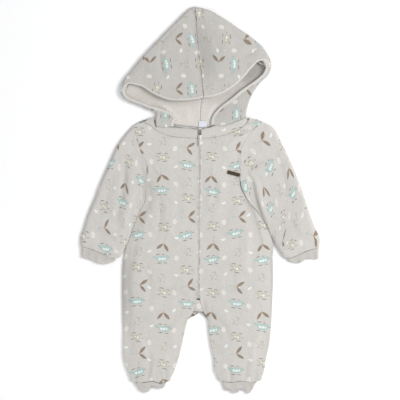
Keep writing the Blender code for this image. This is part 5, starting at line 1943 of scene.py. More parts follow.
GREY_TWIG = Motif(
    (
        Ink(CHARCOAL, (Mark(-0.6, 5.9, 3.8, 0.7, 0.1), Mark(2.4, -5.9, 3.4, 0.7, 0.2))),
        Ink(
            DARK_OLIVE,
            (
                Mark(0.0, 0.0, 8.0, 0.6, 0.5),
                Mark(2.6, 4.4, 3.9, 1.4, 1.25, True),
                Mark(-3.2, -4.6, 3.9, 1.4, 1.1, True),
            ),
        ),
        Ink(OLIVE, (Mark(4.6, -0.8, 3.9, 1.5, -0.25, True), Mark(-5.6, 0.6, 3.9, 1.5, 2.8, True))),
    ),
    0.75,
)
PEBBLE = Motif(
    (
        Ink(CREAM, (Mark(0.0, 0.0, 4.4, 5.8),)),
        Ink(GREY_INK, (Mark(0.3, 2.4, 2.6, 0.6), Mark(0.2, 0.0, 3.2, 0.6), Mark(0.4, -2.4, 2.6, 0.6))),
    ),
    0.85,
)
SMALL_TWIG = Motif(
    (
        Ink(
            GREY_INK,
            (
                Mark(0.0, 0.0, 6.0, 0.55, 0.2),
                Mark(1.6, 2.4, 3.0, 0.5, 0.9),
                Mark(-1.8, -2.2, 3.0, 0.5, 1.0),
            ),
        ),
        Ink(CREAM, (Mark(4.4, 1.9, 2.2, 1.1, 0.5, True), Mark(-4.6, -1.2, 2.2, 1.1, 0.3, True))),
    ),
    0.8,
)
CLOUD_SPOT = Motif(
    (Ink(WHITE_INK, (Mark(-1.6, 0.0, 3.4, 2.4), Mark(2.0, 0.8, 2.8, 2.3), Mark(0.4, -0.9, 3.0, 2.0))),),
    0.8,
)


@dataclass(frozen=True)
class Repeat:
    """A half-drop repeat: its pitch, where it starts, and how far its motifs stray and turn."""

    across: float
    down: float
    start: tuple[float, float]
    stray: float
    turn: float
    seed: float

    def cell(self, board: ShaderBoard, x: Signal, y: Signal) -> tuple[Signal, Signal, Signal, Signal]:
        """Return the place in a motif's own space, and the column and row of its cell."""
        columns = (x + self.start[0]) * (1.0 / self.across)
        column = columns.floor()
        rows = (y + self.start[1]) * (1.0 / self.down) + column.modulo(2.0) * 0.5
        row = rows.floor()
        mixed = board.node("ShaderNodeCombineXYZ", {}, {0: column, 1: row, 2: self.seed}).outputs[0]
        chance = board.node("ShaderNodeTexWhiteNoise", {"noise_dimensions": "3D"}, {"Vector": mixed})
        split = board.node("ShaderNodeSeparateColor", {}, {0: chance.outputs[1]})
        first, second, third = (Signal(board, split.outputs[i]) for i in range(3))
        own_x = (columns - column - 0.5) * self.across - (first - 0.5) * self.stray
        own_y = (rows - row - 0.5) * self.down - (second - 0.5) * self.stray
        angle = (third - 0.5) * self.turn
        cosine, sine = angle.cosine(), angle.sine()
        return own_x * cosine + own_y * sine, own_y * cosine - own_x * sine, column, row


KNIT = {"Roughness": 0.9, "Sheen_Weight": 0.25, "Sheen_Roughness": 0.6, "Specular_IOR_Level": 0.25}


@dataclass(frozen=True)
class JerseyFinish:
    """Brushed grey jersey with a fine knit, flecks and, where wanted, a scattered nursery print, with painted
    shade in its creases.
    """

    name: str
    printed: bool = True
    ground: Colour = paint(210, 207, 201)
    shadow: Colour = paint(196, 192, 186)
    finer: float = 0.80
    hemmed: bool = False
    plush: Colour = paint(212, 208, 202)

    def make(self) -> Material:
        """Return the material."""
        board = ShaderBoard(self.name, **KNIT)
        x, y = board.cut()
        where = board.place()
        fleck = board.cloud(where, 900.0, 3.0)
        patch = board.cloud(where, 26.0, 2.0)
        crumple = board.cloud(where, 74.0, 2.0)
        colour = board.mix((fleck * 0.55 + patch * 0.45 - 0.18) * 0.9, self.ground, self.shadow)
        if self.printed:
            colour = self.print_over(board, colour, x, y)
        stitch = (x * (2.0 * math.pi / 1.15)).sine()
        course = (y * (2.0 * math.pi / 0.95) + abs(stitch) * 2.2).sine()
        brushed = board.cloud(where, 210.0, 3.0)
        height = stitch * 0.05 + course * 0.03 + fleck * 0.12 + brushed * 0.8
        # Painted shade and highlight: the crease troughs darken the colour and ridges lighten it, and the
        # knit's loops are a little lighter where they stand up. The flecks, patches and brushed clouds vary
        # the tone at random.
        shade = 0.905 + (stitch + course) * 0.008 + fleck * 0.05 + brushed * 0.07
        shade = shade + (patch + crumple - 1.0) * 0.07 - board.mark(TROUGH_SHADE) * 0.036
        colour = board.shade(colour, shade)
        if self.hemmed:
            tufts = board.cloud(where, 330.0, 3.0)
            hem = ((board.mark(HEM) + tufts * 0.35 - 0.42) * 6.0).held()
            colour = board.mix(hem, colour, self.plush)
            height = height + hem * tufts * 1.2
        rough = 0.86 + fleck * 0.12
        return board.finish(colour, rough, height, 0.0012)

    def print_over(
        self, board: ShaderBoard, colour: Socket, x: Signal, y: Signal
    ) -> Socket:
        """Lay the print's two repeats over the ground."""
        small = Repeat(52.0, 19.0, (26.0, 6.0), 6.0, 1.4, 3.0)
        sx, sy, column, row = small.cell(board, x, y)
        kind = (row + column * 2.0).modulo(4.0)
        colour = PEBBLE.print_on(board, colour, sx, sy, kind.near(0.0))
        colour = CLOUD_SPOT.print_on(board, colour, sx, sy, kind.near(2.0))
        colour = SMALL_TWIG.print_on(board, colour, sx, sy, kind.near(1.0))
        large = Repeat(52.0, 36.0, (0.0, 0.0), 7.0, 0.6, 1.0)
        lx, ly, column, row = large.cell(board, x, y)
        lx, ly = lx * self.finer, ly * self.finer
        kind = (row + column * 2.0).modulo(4.0)
        turned = column.modulo(2.0)
        colour = SMALL_BIRD.print_on(board, colour, lx, ly, kind.near(0.0))
        colour = SEED_POD.print_on(board, colour, lx, ly, kind.near(2.0))
        colour = LEAF_SPRIG.print_on(board, colour, -ly, lx, kind.near(1.0) * (1.0 - turned))
        colour = LEAF_SPRIG.print_on(board, colour, lx, ly, kind.near(1.0) * turned)
        return GREY_TWIG.print_on(board, colour, lx, ly, kind.near(3.0))


@dataclass(frozen=True)
class RibFinish:
    """Plain rib knit of the cuffs, with painted shade in its grooves."""

    name: str = "grey_rib"
    colour: Colour = paint(206, 203, 198)
    groove_shade: Colour = paint(182, 178, 172)

    def make(self) -> Material:
        """Return the material."""
        board = ShaderBoard(self.name, **KNIT)
        x, y = board.cut()
        fleck = board.cloud(board.place(), 800.0, 3.0)
        rib = (x * (2.0 * math.pi / RIB_PITCH)).cosine() * 0.5 + 0.5
        row = (y * (2.0 * math.pi / 1.1)).sine() * 0.5 + 0.5
        # Painted shade: the colour goes to the groove colour where the ribs are low; the flecks vary it at
        # random.
        colour = board.mix((rib * 0.75 + fleck * 0.35).held(), self.groove_shade, self.colour)
        height = rib * 0.6 + row * 0.15 + fleck * 0.5
        return board.finish(colour, 0.88 + fleck * 0.1, height, 0.0003)


@dataclass(frozen=True)
class PlushFinish:
    """Cream plush with a short curly pile, painted darker as shade in its crease troughs."""

    name: str = "cream_plush"
    light: Colour = paint(224, 221, 215)
    dark: Colour = paint(204, 199, 191)

    def make(self) -> Material:
        """Return the material."""
        board = ShaderBoard(
            self.name, Roughness=0.95, Sheen_Weight=0.5, Sheen_Roughness=0.5, Specular_IOR_Level=0.15
        )
        where = board.place()
        tufts = board.cloud(where, 330.0, 3.0)
        pile = board.node("ShaderNodeTexVoronoi", {}, {"Vector": where, "Scale": 520.0})
        curl = Signal(board, pile.outputs[0])
        patch = board.cloud(where, 40.0, 2.0)
        height = tufts * 0.7 + curl * 0.5
        colour = board.mix((tufts * 0.7 + patch * 0.5 - 0.25).held(), self.dark, self.light)
        # Painted shade: darker where the creases press, which in the lining's under layer is mostly only
        # painted.
        colour = board.shade(colour, 1.0 - board.mark(TROUGH_SHADE) * 0.05)
        return board.finish(colour, 0.9 + tufts * 0.08, height, 0.0012)


@dataclass(frozen=True)
class TapeFinish:
    """Woven zip tape, with painted shade in the low crossings of its weave."""

    name: str = "zip_tape_weave"
    colour: Colour = paint(203, 199, 193)
    dark: Colour = paint(182, 178, 171)

    def make(self) -> Material:
        """Return the material."""
        board = ShaderBoard(self.name, Roughness=0.8, Specular_IOR_Level=0.3)
        x, y = board.cut()
        warp = (x * (2.0 * math.pi / 0.6)).sine()
        weft = (y * (2.0 * math.pi / 0.8)).sine()
        weave = warp * weft * 0.5 + 0.5
        # Painted shade: the weave's low crossings take the dark colour; the cloud varies the tone at random.
        colour = board.mix(weave * 0.7 + board.cloud(board.place(), 600.0) * 0.3, self.dark, self.colour)
        return board.finish(colour, 0.75 + weave * 0.15, weave, 0.00015)


@dataclass(frozen=True)
class NylonFinish:
    """The smooth moulded nylon of the coil's teeth, or the twist of sewing thread."""

    name: str
    colour: Colour
    dark: Colour
    roughness: float
    twist: float

    def make(self) -> Material:
        """Return the material."""
        board = ShaderBoard(self.name, Roughness=self.roughness, Specular_IOR_Level=0.4)
        where = board.place((self.twist, self.twist, self.twist))
        grain = board.cloud(where, 1.0, 2.0)
        colour = board.mix(grain, self.dark, self.colour)
        return board.finish(colour, self.roughness - 0.1 + grain * 0.2, grain, 0.0001)


@dataclass(frozen=True)
class MetalFinish:
    """Cast or stamped metal with fine scratches and a little wear."""

    name: str
    colour: Colour
    worn: Colour
    roughness: float
    brushed: tuple[float, float, float]

    def make(self) -> Material:
        """Return the material."""
        board = ShaderBoard(self.name, Metallic=1.0, Roughness=self.roughness)
        lines = board.cloud(board.place(self.brushed), 1.0, 4.0)
        spots = board.cloud(board.place(), 700.0, 2.0)
        colour = board.mix((lines * 0.6 + spots * 0.6 - 0.35).held(), self.colour, self.worn)
        rough = self.roughness - 0.12 + lines * 0.2 + spots * 0.08
        return board.finish(colour, rough, lines * 0.6 + spots * 0.4, 0.00006)


@dataclass(frozen=True)
class SatinFinish:
    """The blank woven satin of the neck label, with painted shade between its ribs."""

    name: str = "label_satin"
    colour: Colour = paint(226, 227, 236)
    dark: Colour = paint(205, 206, 218)

    def make(self) -> Material:
        """Return the material."""
        board = ShaderBoard(self.name, Roughness=0.5, Sheen_Weight=0.2, Specular_IOR_Level=0.5)
        _, y = board.cut()
        ribs = (y * (2.0 * math.pi / 0.55)).sine() * 0.5 + 0.5
        grain = board.cloud(board.place((900.0, 120.0, 300.0)), 1.0, 2.0)
        # Painted shade: the low ribs take the dark colour; the grain varies the tone at random.
        colour = board.mix((ribs * 0.5 + grain * 0.5).held(), self.dark, self.colour)
        return board.finish(colour, 0.45 + grain * 0.2, ribs * 0.5 + grain * 0.4, 0.0001)


@dataclass(frozen=True)
class FloorFinish:
    """The plain pale surface that the garment lies on."""

    name: str = "pale_floor"

    def make(self) -> Material:
        """Return the material."""
        board = ShaderBoard(self.name, Roughness=0.9, Specular_IOR_Level=0.1)
        grain = board.cloud(board.place(), 60.0, 2.0)
        colour = board.mix(grain, paint(250, 250, 250), paint(252, 252, 252))
        return board.finish(colour, 0.9)


ZIP_TOP = (-0.9, 128.0)
ZIP_END = (-3.4, -207.0)
TAPE_HEIGHT = 8.1
# distance from the zip's middle and height, down to the part that is sewn behind the front
TAPE_SECTION = (
    (0.2, 8.1), (1.1, 8.1), (2.0, 8.1), (2.8, 7.9), (3.3, 7.0), (3.7, 5.8), (4.2, 4.8), (5.2, 4.3),
    (7.0, 4.2), (9.0, 4.2), (11.0, 4.2),
)
TAPE_WALL = 0.7
TOOTH_PITCH = 1.35
TOOTH_HALF = (1.25, 0.6, 0.42)
SLIDER_Y = 131.5
SLIDER_LOW = 8.9
SLIDER_SIZE = (7.6, 10.5, 2.2)
BRIDGE_INNER = 2.0
BRIDGE_SECTION = (1.6, 1.4)
PULL_LIFT = 0.95
PLATE_SIZE = (27.0, 7.5, 1.4)
PLATE_LOW = 9.0
LABEL_MIDDLE = (5.5, 159.6)
LABEL_SIZE = (17.0, 13.0)
LABEL_HEIGHT = 5.0
LABEL_WALL = 0.5
STITCH_PITCH = 3.3
STITCH_HALF = (1.25, 0.24, 0.16)


def zip_centre(y: float) -> float:
    """Return where the zip runs at a height down the front."""
    share = (ZIP_TOP[1] - y) / (ZIP_TOP[1] - ZIP_END[1])
    return ZIP_TOP[0] + (ZIP_END[0] - ZIP_TOP[0]) * share


def add_beads(
    mesh: Cloth, places: Iterable[Bead], half: Sequence[float]
) -> None:
    """Add small rounded bodies to a mesh.

    Args:
        mesh: Where they go.
        places: The x, y and z of each in millimetres and its turn in radians.
        half: Their half sizes.
    """
    for x, y, z, turn in places:
        matrix = Matrix.Translation(Vector((x, y, z)) * MM) @ Matrix.Rotation(turn, 4, "Z")
        matrix = matrix @ Matrix.Diagonal((*(h * MM for h in half), 1.0))
        bmesh.ops.create_icosphere(mesh, subdivisions=1, radius=1.0, matrix=matrix)


def block(size: Sequence[float], bevel: float, segments: int = 3) -> Cloth:
    """Return a block around the origin with rounded edges, in millimetres."""
    mesh = bmesh.new()
    bmesh.ops.create_cube(mesh, size=1.0)
    bmesh.ops.scale(mesh, vec=Vector(size) * MM, verts=mesh.verts[:])
    if bevel:
        round_edges(mesh, mesh.edges[:], bevel, segments)
    return mesh


def round_edges(mesh: Cloth, edges: list, bevel: float, segments: int) -> None:
    """Round some edges of a mesh."""
    bmesh.ops.bevel(
        mesh, geom=edges, offset=bevel * MM, segments=segments, profile=0.5, affect="EDGES", material=-1
    )


def trim(piece: Piece, slot: Slot, body: Body = Body.GARMENT, node: str = "") -> Piece:
    """Put a trim on its body and, where one is named, in place of its solid."""
    if node:
        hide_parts(node)
    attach(piece.thing, body.value)
    return piece


@dataclass
class Zip:
    """The front zip: two tapes, a closed coil, the slider and its pull."""

    tape: Material
    coil: Material
    metal: Material

    def build(self) -> list[Piece]:
        """Make the zip's pieces."""
        tapes = [self.tape_side("zip_right", -1.0), self.tape_side("zip_left", 1.0)]
        return [*tapes, self.teeth(), self.slider(), self.pull()]

    def tape_side(self, name: str, side: float) -> Piece:
        """Weave one side's tape, which goes down behind the front's turned edge."""
        section = np.array(TAPE_SECTION)
        along = chords(section) * side
        ys = np.linspace(ZIP_TOP[1], ZIP_END[1], 170)
        points = np.array([[(zip_centre(y) + side * out, y, height) for out, height in section] for y in ys])
        cut = np.array([[(distance, y) for distance in along] for y in ys])
        grid = ClothGrid(name, points, cut, wall=TAPE_WALL)
        return sew(grid, self.tape, name)

    def teeth(self) -> Piece:
        """Close the coil down the middle, tooth by tooth from either side."""
        mesh = bmesh.new()
        count = int((ZIP_TOP[1] - ZIP_END[1] - 4.0) / TOOTH_PITCH)
        places = []
        for index in range(count):
            y = ZIP_TOP[1] - 2.0 - index * TOOTH_PITCH
            side = 0.28 if index % 2 else -0.28
            places.append((zip_centre(y) + side, y, TAPE_HEIGHT + 0.28, 0.10 if index % 2 else -0.10))
        add_beads(mesh, places, TOOTH_HALF)
        return trim(add_piece("zip_coil", mesh, [self.coil]), Slot.ZIP_TAPE)

    def slider(self) -> Piece:
        """Shape the slider: a plate that narrows downwards, with the bridge standing on it."""
        mesh = block(SLIDER_SIZE, 0.0)
        for vert in mesh.verts:
            if vert.co.y < 0.0:
                vert.co.x *= 0.68
        waist = [edge for edge in mesh.edges if abs(edge.verts[0].co.y - edge.verts[1].co.y) > 5.0 * MM]
        bmesh.ops.subdivide_edges(mesh, edges=waist, cuts=3, use_grid_fill=True)
        for vert in mesh.verts:
            share = 0.5 - vert.co.y / (SLIDER_SIZE[1] * MM)
            vert.co.x *= 1.0 + 0.14 * math.sin(math.pi * share)
        sharp = [edge for edge in mesh.edges if edge.calc_face_angle(0.0) > 0.6]
        round_edges(mesh, sharp, 0.55, 3)
        centre = Vector((zip_centre(SLIDER_Y), SLIDER_Y, SLIDER_LOW + SLIDER_SIZE[2] / 2.0)) * MM
        bmesh.ops.translate(mesh, vec=centre, verts=mesh.verts[:])
        self.add_bridge(mesh, centre + Vector((0.0, 0.0, SLIDER_SIZE[2] / 2.0 * MM)))
        bmesh.ops.recalc_face_normals(mesh, faces=mesh.faces[:])
        return trim(add_piece("slider", mesh, [self.metal]), Slot.ZIP_METAL, node="slider")

    def add_bridge(self, mesh: Cloth, foot: Vector) -> None:
        """Spin the bridge's section over the plate."""
        width, thick = BRIDGE_SECTION
        start = Matrix.Translation(foot + Vector((0.0, (BRIDGE_INNER + thick / 2.0) * MM, 0.0)))
        made = bmesh.ops.create_grid(mesh, x_segments=1, y_segments=1, size=0.5, matrix=Matrix.Identity(4))
        section = made["verts"]
        bmesh.ops.scale(mesh, vec=Vector((width, thick, 1.0)) * MM, verts=section)
        bmesh.ops.transform(mesh, matrix=start, verts=section)
        faces = list({face for vert in section for face in vert.link_faces})
        edges = list({edge for vert in section for edge in vert.link_edges})
        bmesh.ops.spin(
            mesh, geom=[*section, *edges, *faces], cent=foot, axis=(1.0, 0.0, 0.0), angle=math.pi, steps=14
        )

    def pull(self) -> Piece:
        """Shape the pull: a slim tab with a window that hangs on the bridge."""
        rows = (
            (0.45, 2.0), (-0.45, 2.4), (-2.2, 2.45), (-4.2, 2.45), (-5.2, 2.3), (-7.5, 1.95), (-10.5, 1.9),
            (-13.5, 2.2), (-15.6, 2.3), (-16.5, 1.9), (-17.0, 1.2),
        )
        mesh = bmesh.new()
        bmesh.ops.create_grid(mesh, x_segments=3, y_segments=len(rows) - 1, size=0.5)
        mesh.verts.ensure_lookup_table()
        for index, vert in enumerate(mesh.verts):
            y, half = rows[len(rows) - 1 - index // 4]
            window = 0.5 * half if y < -4.5 or y > 0.0 else 1.2
            vert.co = Vector(((-half, -window, window, half)[index % 4], y, 0.0)) * MM
        mesh.faces.ensure_lookup_table()
        middles = [(face, face.calc_center_median()) for face in mesh.faces]
        window = [face for face, at in middles if abs(at.x) < 0.5 * MM and -4.2 * MM < at.y < -0.5 * MM]
        bmesh.ops.delete(mesh, geom=window, context="FACES")
        bmesh.ops.solidify(mesh, geom=mesh.faces[:], thickness=1.1 * MM)
        bmesh.ops.recalc_face_normals(mesh, faces=mesh.faces[:])
        middle = sum((vert.co.z for vert in mesh.verts), 0.0) / len(mesh.verts)
        sharp = [edge for edge in mesh.edges if edge.calc_face_angle(0.0) > 0.8]
        round_edges(mesh, sharp, 0.26, 2)
        lift = SLIDER_LOW + SLIDER_SIZE[2] + PULL_LIFT
        centre = Vector((zip_centre(SLIDER_Y), SLIDER_Y, lift)) * MM - Vector((0.0, 0.0, middle))
        bmesh.ops.translate(mesh, vec=centre, verts=mesh.verts[:])
        return trim(add_piece("pull_tab", mesh, [self.metal]), Slot.ZIP_METAL, Body.PULL, "pull_tab")


@dataclass
class Plate:
    """The small blank metal plate on the wearer's left chest."""

    metal: Material

    def build(self) -> list[Piece]:
        """Make the plate, with a raised rim."""
        mesh = block(PLATE_SIZE, 0.0)
        corners = [edge for edge in mesh.edges if abs(edge.verts[0].co.z - edge.verts[1].co.z) > 1.0 * MM]
        round_edges(mesh, corners, 1.6, 4)
        top = [face for face in mesh.faces if face.normal.z > 0.9]
        bmesh.ops.inset_region(mesh, faces=top, thickness=0.75 * MM, depth=0.0)
        bmesh.ops.inset_region(mesh, faces=top, thickness=0.18 * MM, depth=-0.2 * MM)
        rim = [edge for edge in mesh.edges if edge.calc_face_angle(0.0) > 1.2]
        round_edges(mesh, rim, 0.22, 2)
        turn = Matrix.Rotation(math.radians(PLATE_SEAT.turn), 4, "Z")
        place = Vector((PLATE_SEAT.x, PLATE_SEAT.y, PLATE_LOW + PLATE_SIZE[2] / 2.0)) * MM
        bmesh.ops.transform(mesh, matrix=Matrix.Translation(place) @ turn, verts=mesh.verts[:])
        piece = add_piece("chest_plate", mesh, [self.metal], smooth=False)
        return [trim(piece, Slot.PLATE_METAL, node="chest_plate")]


@dataclass
class NeckLabel:
    """The blank woven label inside the back of the neck."""

    satin: Material

    def build(self) -> list[Piece]:
        """Lay the label on the lining."""
        width, height = LABEL_SIZE
        across_it, down_it = np.meshgrid(np.linspace(-0.5, 0.5, 17), np.linspace(0.5, -0.5, 13))
        plan = np.stack([LABEL_MIDDLE[0] + width * across_it, LABEL_MIDDLE[1] + height * down_it], axis=-1)
        wave = 0.25 * np.sin(3.0 * across_it + 1.0) + 0.3 * down_it * np.cos(4.0 * across_it)
        grid = ClothGrid("label", lifted(plan, LABEL_HEIGHT + wave), plan, wall=LABEL_WALL)
        return [sew(grid, self.satin, "label")]


@dataclass(frozen=True)
class ThreadRun:
    """A row of stitches along a seam."""

    path: tuple[tuple[float, float], ...]
    pieces: tuple[str, ...]
    pitch: float = STITCH_PITCH
    sunk: float = 0.05


@dataclass
class Topstitching:
    """All the visible rows of stitches."""

    thread: Material
    runs: Sequence[ThreadRun]
    pieces: dict[str, Piece]

    def build(self) -> list[Piece]:
        """Sew each row as small beads of thread on the cloth's face."""
        mesh = bmesh.new()
        for run in self.runs:
            add_beads(mesh, self.places(run), STITCH_HALF)
        return [trim(add_piece("topstitching", mesh, [self.thread]), Slot.JERSEY)]

    def places(self, run: ThreadRun) -> list[Bead]:
        """Return where the stitches of a row lie, at even steps along it."""
        line = smooth_line(run.path, 121)
        length = chords(line)[-1]
        along = np.arange(run.pitch / 2.0, length, run.pitch)
        points = walk(line, along)
        ahead = walk(line, np.minimum(along + 0.5, length))
        found = []
        for (x, y), (next_x, next_y) in zip(points, ahead):
            height = max(self.pieces[name].height(x, y) for name in run.pieces)
            found.append((x, y, height + STITCH_HALF[2] - run.sunk, math.atan2(next_y - y, next_x - x)))
        return found


THREAD_RUNS = (
    ThreadRun(
        (
            (-117.6, 159.4), (-104.0, 151.0), (-93.5, 143.8), (-78.8, 134.8), (-62.0, 129.2),
            (-34.6, 126.6), (-7.4, 125.0),
        ),
        ("front_right",),
    ),
    ThreadRun(
        ((9.5, 125.4), (30.5, 127.1), (51.5, 131.7), (70.4, 139.7), (87.2, 149.1), (96.6, 157.5)),
        ("front_left",),
    ),
    ThreadRun(
        ((-7.4, 120.8), (-8.6, 62.0), (-9.9, -1.1), (-11.1, -85.0), (-12.0, -148.1), (-12.8, -194.2)),
        ("front_right",),
    ),
    ThreadRun(
        ((8.2, 120.8), (7.1, 62.0), (5.9, -1.1), (4.6, -85.0), (3.8, -148.1), (2.9, -194.2)),
        ("front_left",),
    ),
    ThreadRun(
        (
            (-135.9, 152.2), (-129.6, 129.2), (-122.0, 106.1), (-114.5, 91.4), (-106.1, 76.7),
            (-104.0, 66.2),
        ),
        ("front_right",),
    ),
    ThreadRun(
        ((96.6, 143.8), (83.8, 122.9), (81.3, 104.0), (81.3, 72.5), (80.2, 49.4), (82.3, 30.5)),
        ("front_left",),
    ),
    ThreadRun(((149.7, -106.1), (149.3, -148.1), (148.1, -200.6), (147.2, -269.9)), ("front_left",)),
    ThreadRun(((-246.8, -92.4), (-225.8, -97.7), (-202.7, -107.1), (-181.7, -116.6)), ("sleeve_right",)),
    ThreadRun(((246.8, -94.7), (223.7, -102.7), (202.7, -111.5), (177.5, -116.6)), ("sleeve_left",)),
    ThreadRun(
        ((-137.6, -378.0), (-116.6, -380.3), (-99.8, -378.2), (-83.0, -380.3), (-68.2, -377.8)),
        ("front_right",),
    ),
    ThreadRun(
        ((45.1, -376.1), (64.0, -379.1), (85.0, -377.4), (106.1, -379.5), (120.8, -377.4)),
        ("front_left",),
    ),
    ThreadRun(
        (
            (-156.5, 249.9), (-148.1, 253.9), (-135.5, 251.8), (-118.7, 246.8), (-104.0, 236.2),
            (-93.5, 231.0), (-83.0, 226.8), (-66.2, 219.0), (-43.1, 218.2), (-19.9, 219.5),
            (-1.1, 222.0),
        ),
        ("hood_right",),
    ),
    ThreadRun(
        (
            (10.5, 223.7), (24.2, 225.8), (36.8, 229.5), (49.4, 236.2), (62.0, 243.4), (72.5, 251.0),
            (83.0, 260.2), (93.5, 271.9), (101.9, 281.2), (112.4, 290.9),
        ),
        ("hood_left",),
    ),
    ThreadRun(
        (
            (-10.7, 376.9), (-9.5, 330.8), (-6.5, 309.8), (-4.4, 292.9), (-1.5, 276.2), (0.6, 255.2),
            (2.3, 230.0),
        ),
        ("hood_right",), 4.2,
    ),
)


@dataclass(frozen=True)
class Finishes:
    """Every finish of the garment."""

    jersey: Material
    sleeve: Material
    hood: Material
    plain: Material
    rib: Material
    plush: Material
    tape: Material
    coil: Material
    thread: Material
    zip_metal: Material
    plate_metal: Material
    satin: Material

    @classmethod
    def make(cls) -> "Finishes":
        """Mix every finish once."""
        # The hood's jersey is the body's jersey painted darker, as shade for the hood's sagging, sloping
        # cloth.
        hood = JerseyFinish(
            "printed_hood_jersey_painted_darker", ground=paint(200, 197, 192), shadow=paint(186, 183, 178), hemmed=True
        )
        scratches, plate_scratches = (300.0, 2400.0, 900.0), (240.0, 2600.0, 900.0)
        nickel = MetalFinish("nickel", paint(220, 217, 210), paint(236, 233, 226), 0.36, scratches)
        dark = MetalFinish("dark_plate", paint(72, 64, 52), paint(116, 106, 88), 0.42, plate_scratches)
        thread = NylonFinish("sewing_thread", paint(222, 219, 213), paint(206, 202, 196), 0.8, 2400.0)
        return cls(
            jersey=JerseyFinish("printed_jersey").make(),
            sleeve=JerseyFinish("printed_sleeve_jersey", ground=paint(212, 209, 204)).make(),
            hood=hood.make(),
            plain=JerseyFinish("plain_jersey", printed=False, ground=paint(206, 203, 196)).make(),
            rib=RibFinish().make(),
            plush=PlushFinish().make(),
            tape=TapeFinish().make(),
            coil=NylonFinish("coil_nylon", paint(226, 223, 217), paint(212, 208, 202), 0.5, 900.0).make(),
            thread=thread.make(),
            zip_metal=nickel.make(),
            plate_metal=dark.make(),
            satin=SatinFinish().make(),
        )


@dataclass
class Trunk:
    """The front and back halves and the crotch gusset."""

    jersey: Material

    def build(self) -> list[Piece]:
        """Make the body's cloth."""
        return [
            BackPanel("back_right", BACK_RIGHT, BACK_RIGHT_NECK, RIGHT_ANKLE).build(self.jersey),
            BackPanel("back_left", BACK_LEFT, BACK_LEFT_NECK, LEFT_ANKLE).build(self.jersey),
            FrontPanel("front_right", FRONT_RIGHT, FRONT_RIGHT_NECK, RIGHT_ANKLE).build(self.jersey),
            FrontPanel("front_left", FRONT_LEFT, FRONT_LEFT_NECK, LEFT_ANKLE).build(self.jersey),
            FlatStrip("crotch_gusset", GUSSET, 7.6, rise_from=RISE_WIDTH).build(self.jersey),
        ]


@dataclass
class Sleeves:
    """Both sleeves with their rib cuffs."""

    jersey: Material
    rib: Material

    def build(self) -> list[Piece]:
        """Make the sleeves."""
        laid = {"heights": (8.6, 8.0), "upright": True}
        sleeves = [
            FlatTube("sleeve_right", SLEEVE_RIGHT, SLEEVE_RIGHT_ARMHOLE, SLEEVE_RIGHT_WRIST, **laid),
            FlatTube("sleeve_left", SLEEVE_LEFT, SLEEVE_LEFT_ARMHOLE, SLEEVE_LEFT_WRIST, **laid),
        ]
        cuffs = [
            rib_cuff("cuff_right", CUFF_RIGHT, CUFF_RIGHT_SEAM, CUFF_RIGHT_END),
            rib_cuff("cuff_left", CUFF_LEFT, CUFF_LEFT_SEAM, CUFF_LEFT_END),
        ]
        return [
            *(sleeve.build(self.jersey, Slot.JERSEY, Hold.LAID) for sleeve in sleeves),
            *(cuff.build(self.rib, Slot.RIB, Hold.GATHERED) for cuff in cuffs),
        ]


@dataclass
class Ankles:
    """The rib cuffs of both legs."""

    rib: Material

    def build(self) -> list[Piece]:
        """Make the ankle cuffs."""
        right = rib_cuff("ankle_right", ANKLE_RIGHT, ANKLE_RIGHT_SEAM, ANKLE_RIGHT_END)
        left = rib_cuff("ankle_left", ANKLE_LEFT, ANKLE_LEFT_SEAM, ANKLE_LEFT_END)
        return [right.build(self.rib, Slot.RIB, Hold.GATHERED), left.build(self.rib, Slot.RIB, Hold.GATHERED)]


def rib_cuff(name: str, sections: Table, seam: Table, end: Table) -> FlatTube:
    """Return the tube of one rib cuff."""
    return FlatTube(
        name, sections, seam, end, (8.0, 6.6), side=4.0, spaces=130, under_spaces=60, step=1.6,
        upper=gathered_rib, wall=1.0,
    )


@dataclass
class Hood:
    """The hood's two outer halves and the two halves of its plush lining."""

    jersey: Material
    plush: Material

    def build(self) -> list[Piece]:
        """Make the hood."""
        right = (HOOD_RIGHT_LIP, HOOD_RIGHT_CROWN, HOOD_RIGHT_HEM, HOOD_RIGHT_SEAM, HOOD_RIGHT_NAPE)
        left = (HOOD_LEFT_LIP, HOOD_LEFT_CROWN, HOOD_LEFT_HEM, HOOD_LEFT_SEAM, HOOD_LEFT_NAPE)
        inner = {"inset": 3.8, "lining": True, "wall": 1.8}
        return [
            HoodHalf("hood_right", *right).build(self.jersey),
            HoodHalf("hood_left", *left, nape_row=1).build(self.jersey),
            HoodHalf("lining_right", *right, first_row=3, **inner).build(self.plush),
            HoodHalf("lining_left", *left, first_row=2, nape_row=1, **inner).build(self.plush),
        ]


@dataclass
class Neck:
    """The neck band, plain on the wearer's right and printed on the left."""

    plain: Material
    printed: Material

    def build(self) -> list[Piece]:
        """Make both ends of the band."""
        lie = {"top": FRONT_TOP, "rise_from": 6.0, "rise": FRONT_RISE}
        right = {"low_seam": FRONT_RIGHT_NECK, "up_seam": HOOD_RIGHT_SEAM}
        left = {"low_seam": FRONT_LEFT_NECK, "up_seam": HOOD_LEFT_SEAM}
        return [
            FlatStrip("neck_band_right", BAND_RIGHT, **lie, **right).build(self.plain),
            FlatStrip("neck_band_left", BAND_LEFT, **lie, **left).build(self.printed),
        ]


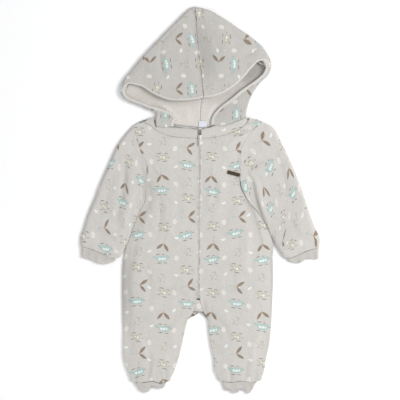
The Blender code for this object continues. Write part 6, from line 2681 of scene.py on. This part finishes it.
@dataclass(frozen=True)
class Studio:
    """The pale floor, the soft light and the overhead camera."""

    camera_height: float = 6.0
    seen_width: float = 0.840
    middle_height: float = 0.009
    sensor: float = 36.0
    key_power: float = 54.0
    fill_strength: float = 0.60

    def build(self) -> None:
        """Set the scene."""
        self.floor()
        self.light("key", (2.0, 0.5, 2.2), 1.3, self.key_power)
        self.light("fill", (-0.3, -1.8, 2.4), 2.2, self.key_power * 0.3)
        self.sky()
        self.camera()
        bpy.context.scene.view_settings.view_transform = "Standard"

    def floor(self) -> None:
        """Lay the floor just under the cloth."""
        mesh = bmesh.new()
        bmesh.ops.create_grid(mesh, x_segments=1, y_segments=1, size=5.0)
        bmesh.ops.translate(mesh, vec=(0.0, 0.0, -0.0005), verts=mesh.verts[:])
        add_piece("floor", mesh, [FloorFinish().make()], smooth=False).thing

    def light(self, name: str, place: tuple[float, float, float], size: float, power: float) -> None:
        """Hang a soft square light that faces the garment."""
        lamp = bpy.data.lights.new(name, "AREA")
        lamp.size = size
        lamp.energy = power
        thing = bpy.data.objects.new(name, lamp)
        thing.location = place
        thing.rotation_euler = (-Vector(place)).to_track_quat("-Z", "Y").to_euler()
        bpy.context.scene.collection.objects.link(thing)

    def sky(self) -> None:
        """Fill the room with pale light."""
        world = bpy.data.worlds.new("room")
        world.use_nodes = True
        shade = world.node_tree.nodes["Background"]
        shade.inputs["Color"].default_value = (0.98, 0.985, 1.0, 1.0)
        shade.inputs["Strength"].default_value = self.fill_strength
        bpy.context.scene.world = world

    def camera(self) -> None:
        """Look straight down from far away."""
        lens = bpy.data.cameras.new("camera")
        lens.sensor_width = self.sensor
        lens.lens = self.sensor * (self.camera_height - self.middle_height) / self.seen_width
        thing = bpy.data.objects.new("camera", lens)
        thing.location = (0.0, 0.0, self.camera_height)
        bpy.context.scene.collection.objects.link(thing)
        bpy.context.scene.camera = thing


def main() -> None:
    """Build every piece, then the studio."""
    logging.basicConfig(level=logging.INFO, format="%(name)s %(message)s")
    finishes = Finishes.make()
    parts = [
        Trunk(finishes.jersey),
        Sleeves(finishes.sleeve, finishes.rib),
        Ankles(finishes.rib),
        Hood(finishes.hood, finishes.plush),
        Neck(finishes.plain, finishes.jersey),
        Zip(finishes.tape, finishes.coil, finishes.zip_metal),
        Plate(finishes.plate_metal),
        NeckLabel(finishes.satin),
    ]
    pieces: dict[str, Piece] = {}
    for part in parts:
        for piece in part.build():
            pieces[piece.name] = piece
        LOG.info("built %s", type(part).__name__)
    Topstitching(finishes.thread, THREAD_RUNS, pieces).build()
    Studio().build()


if __name__ == "__main__":
    main()
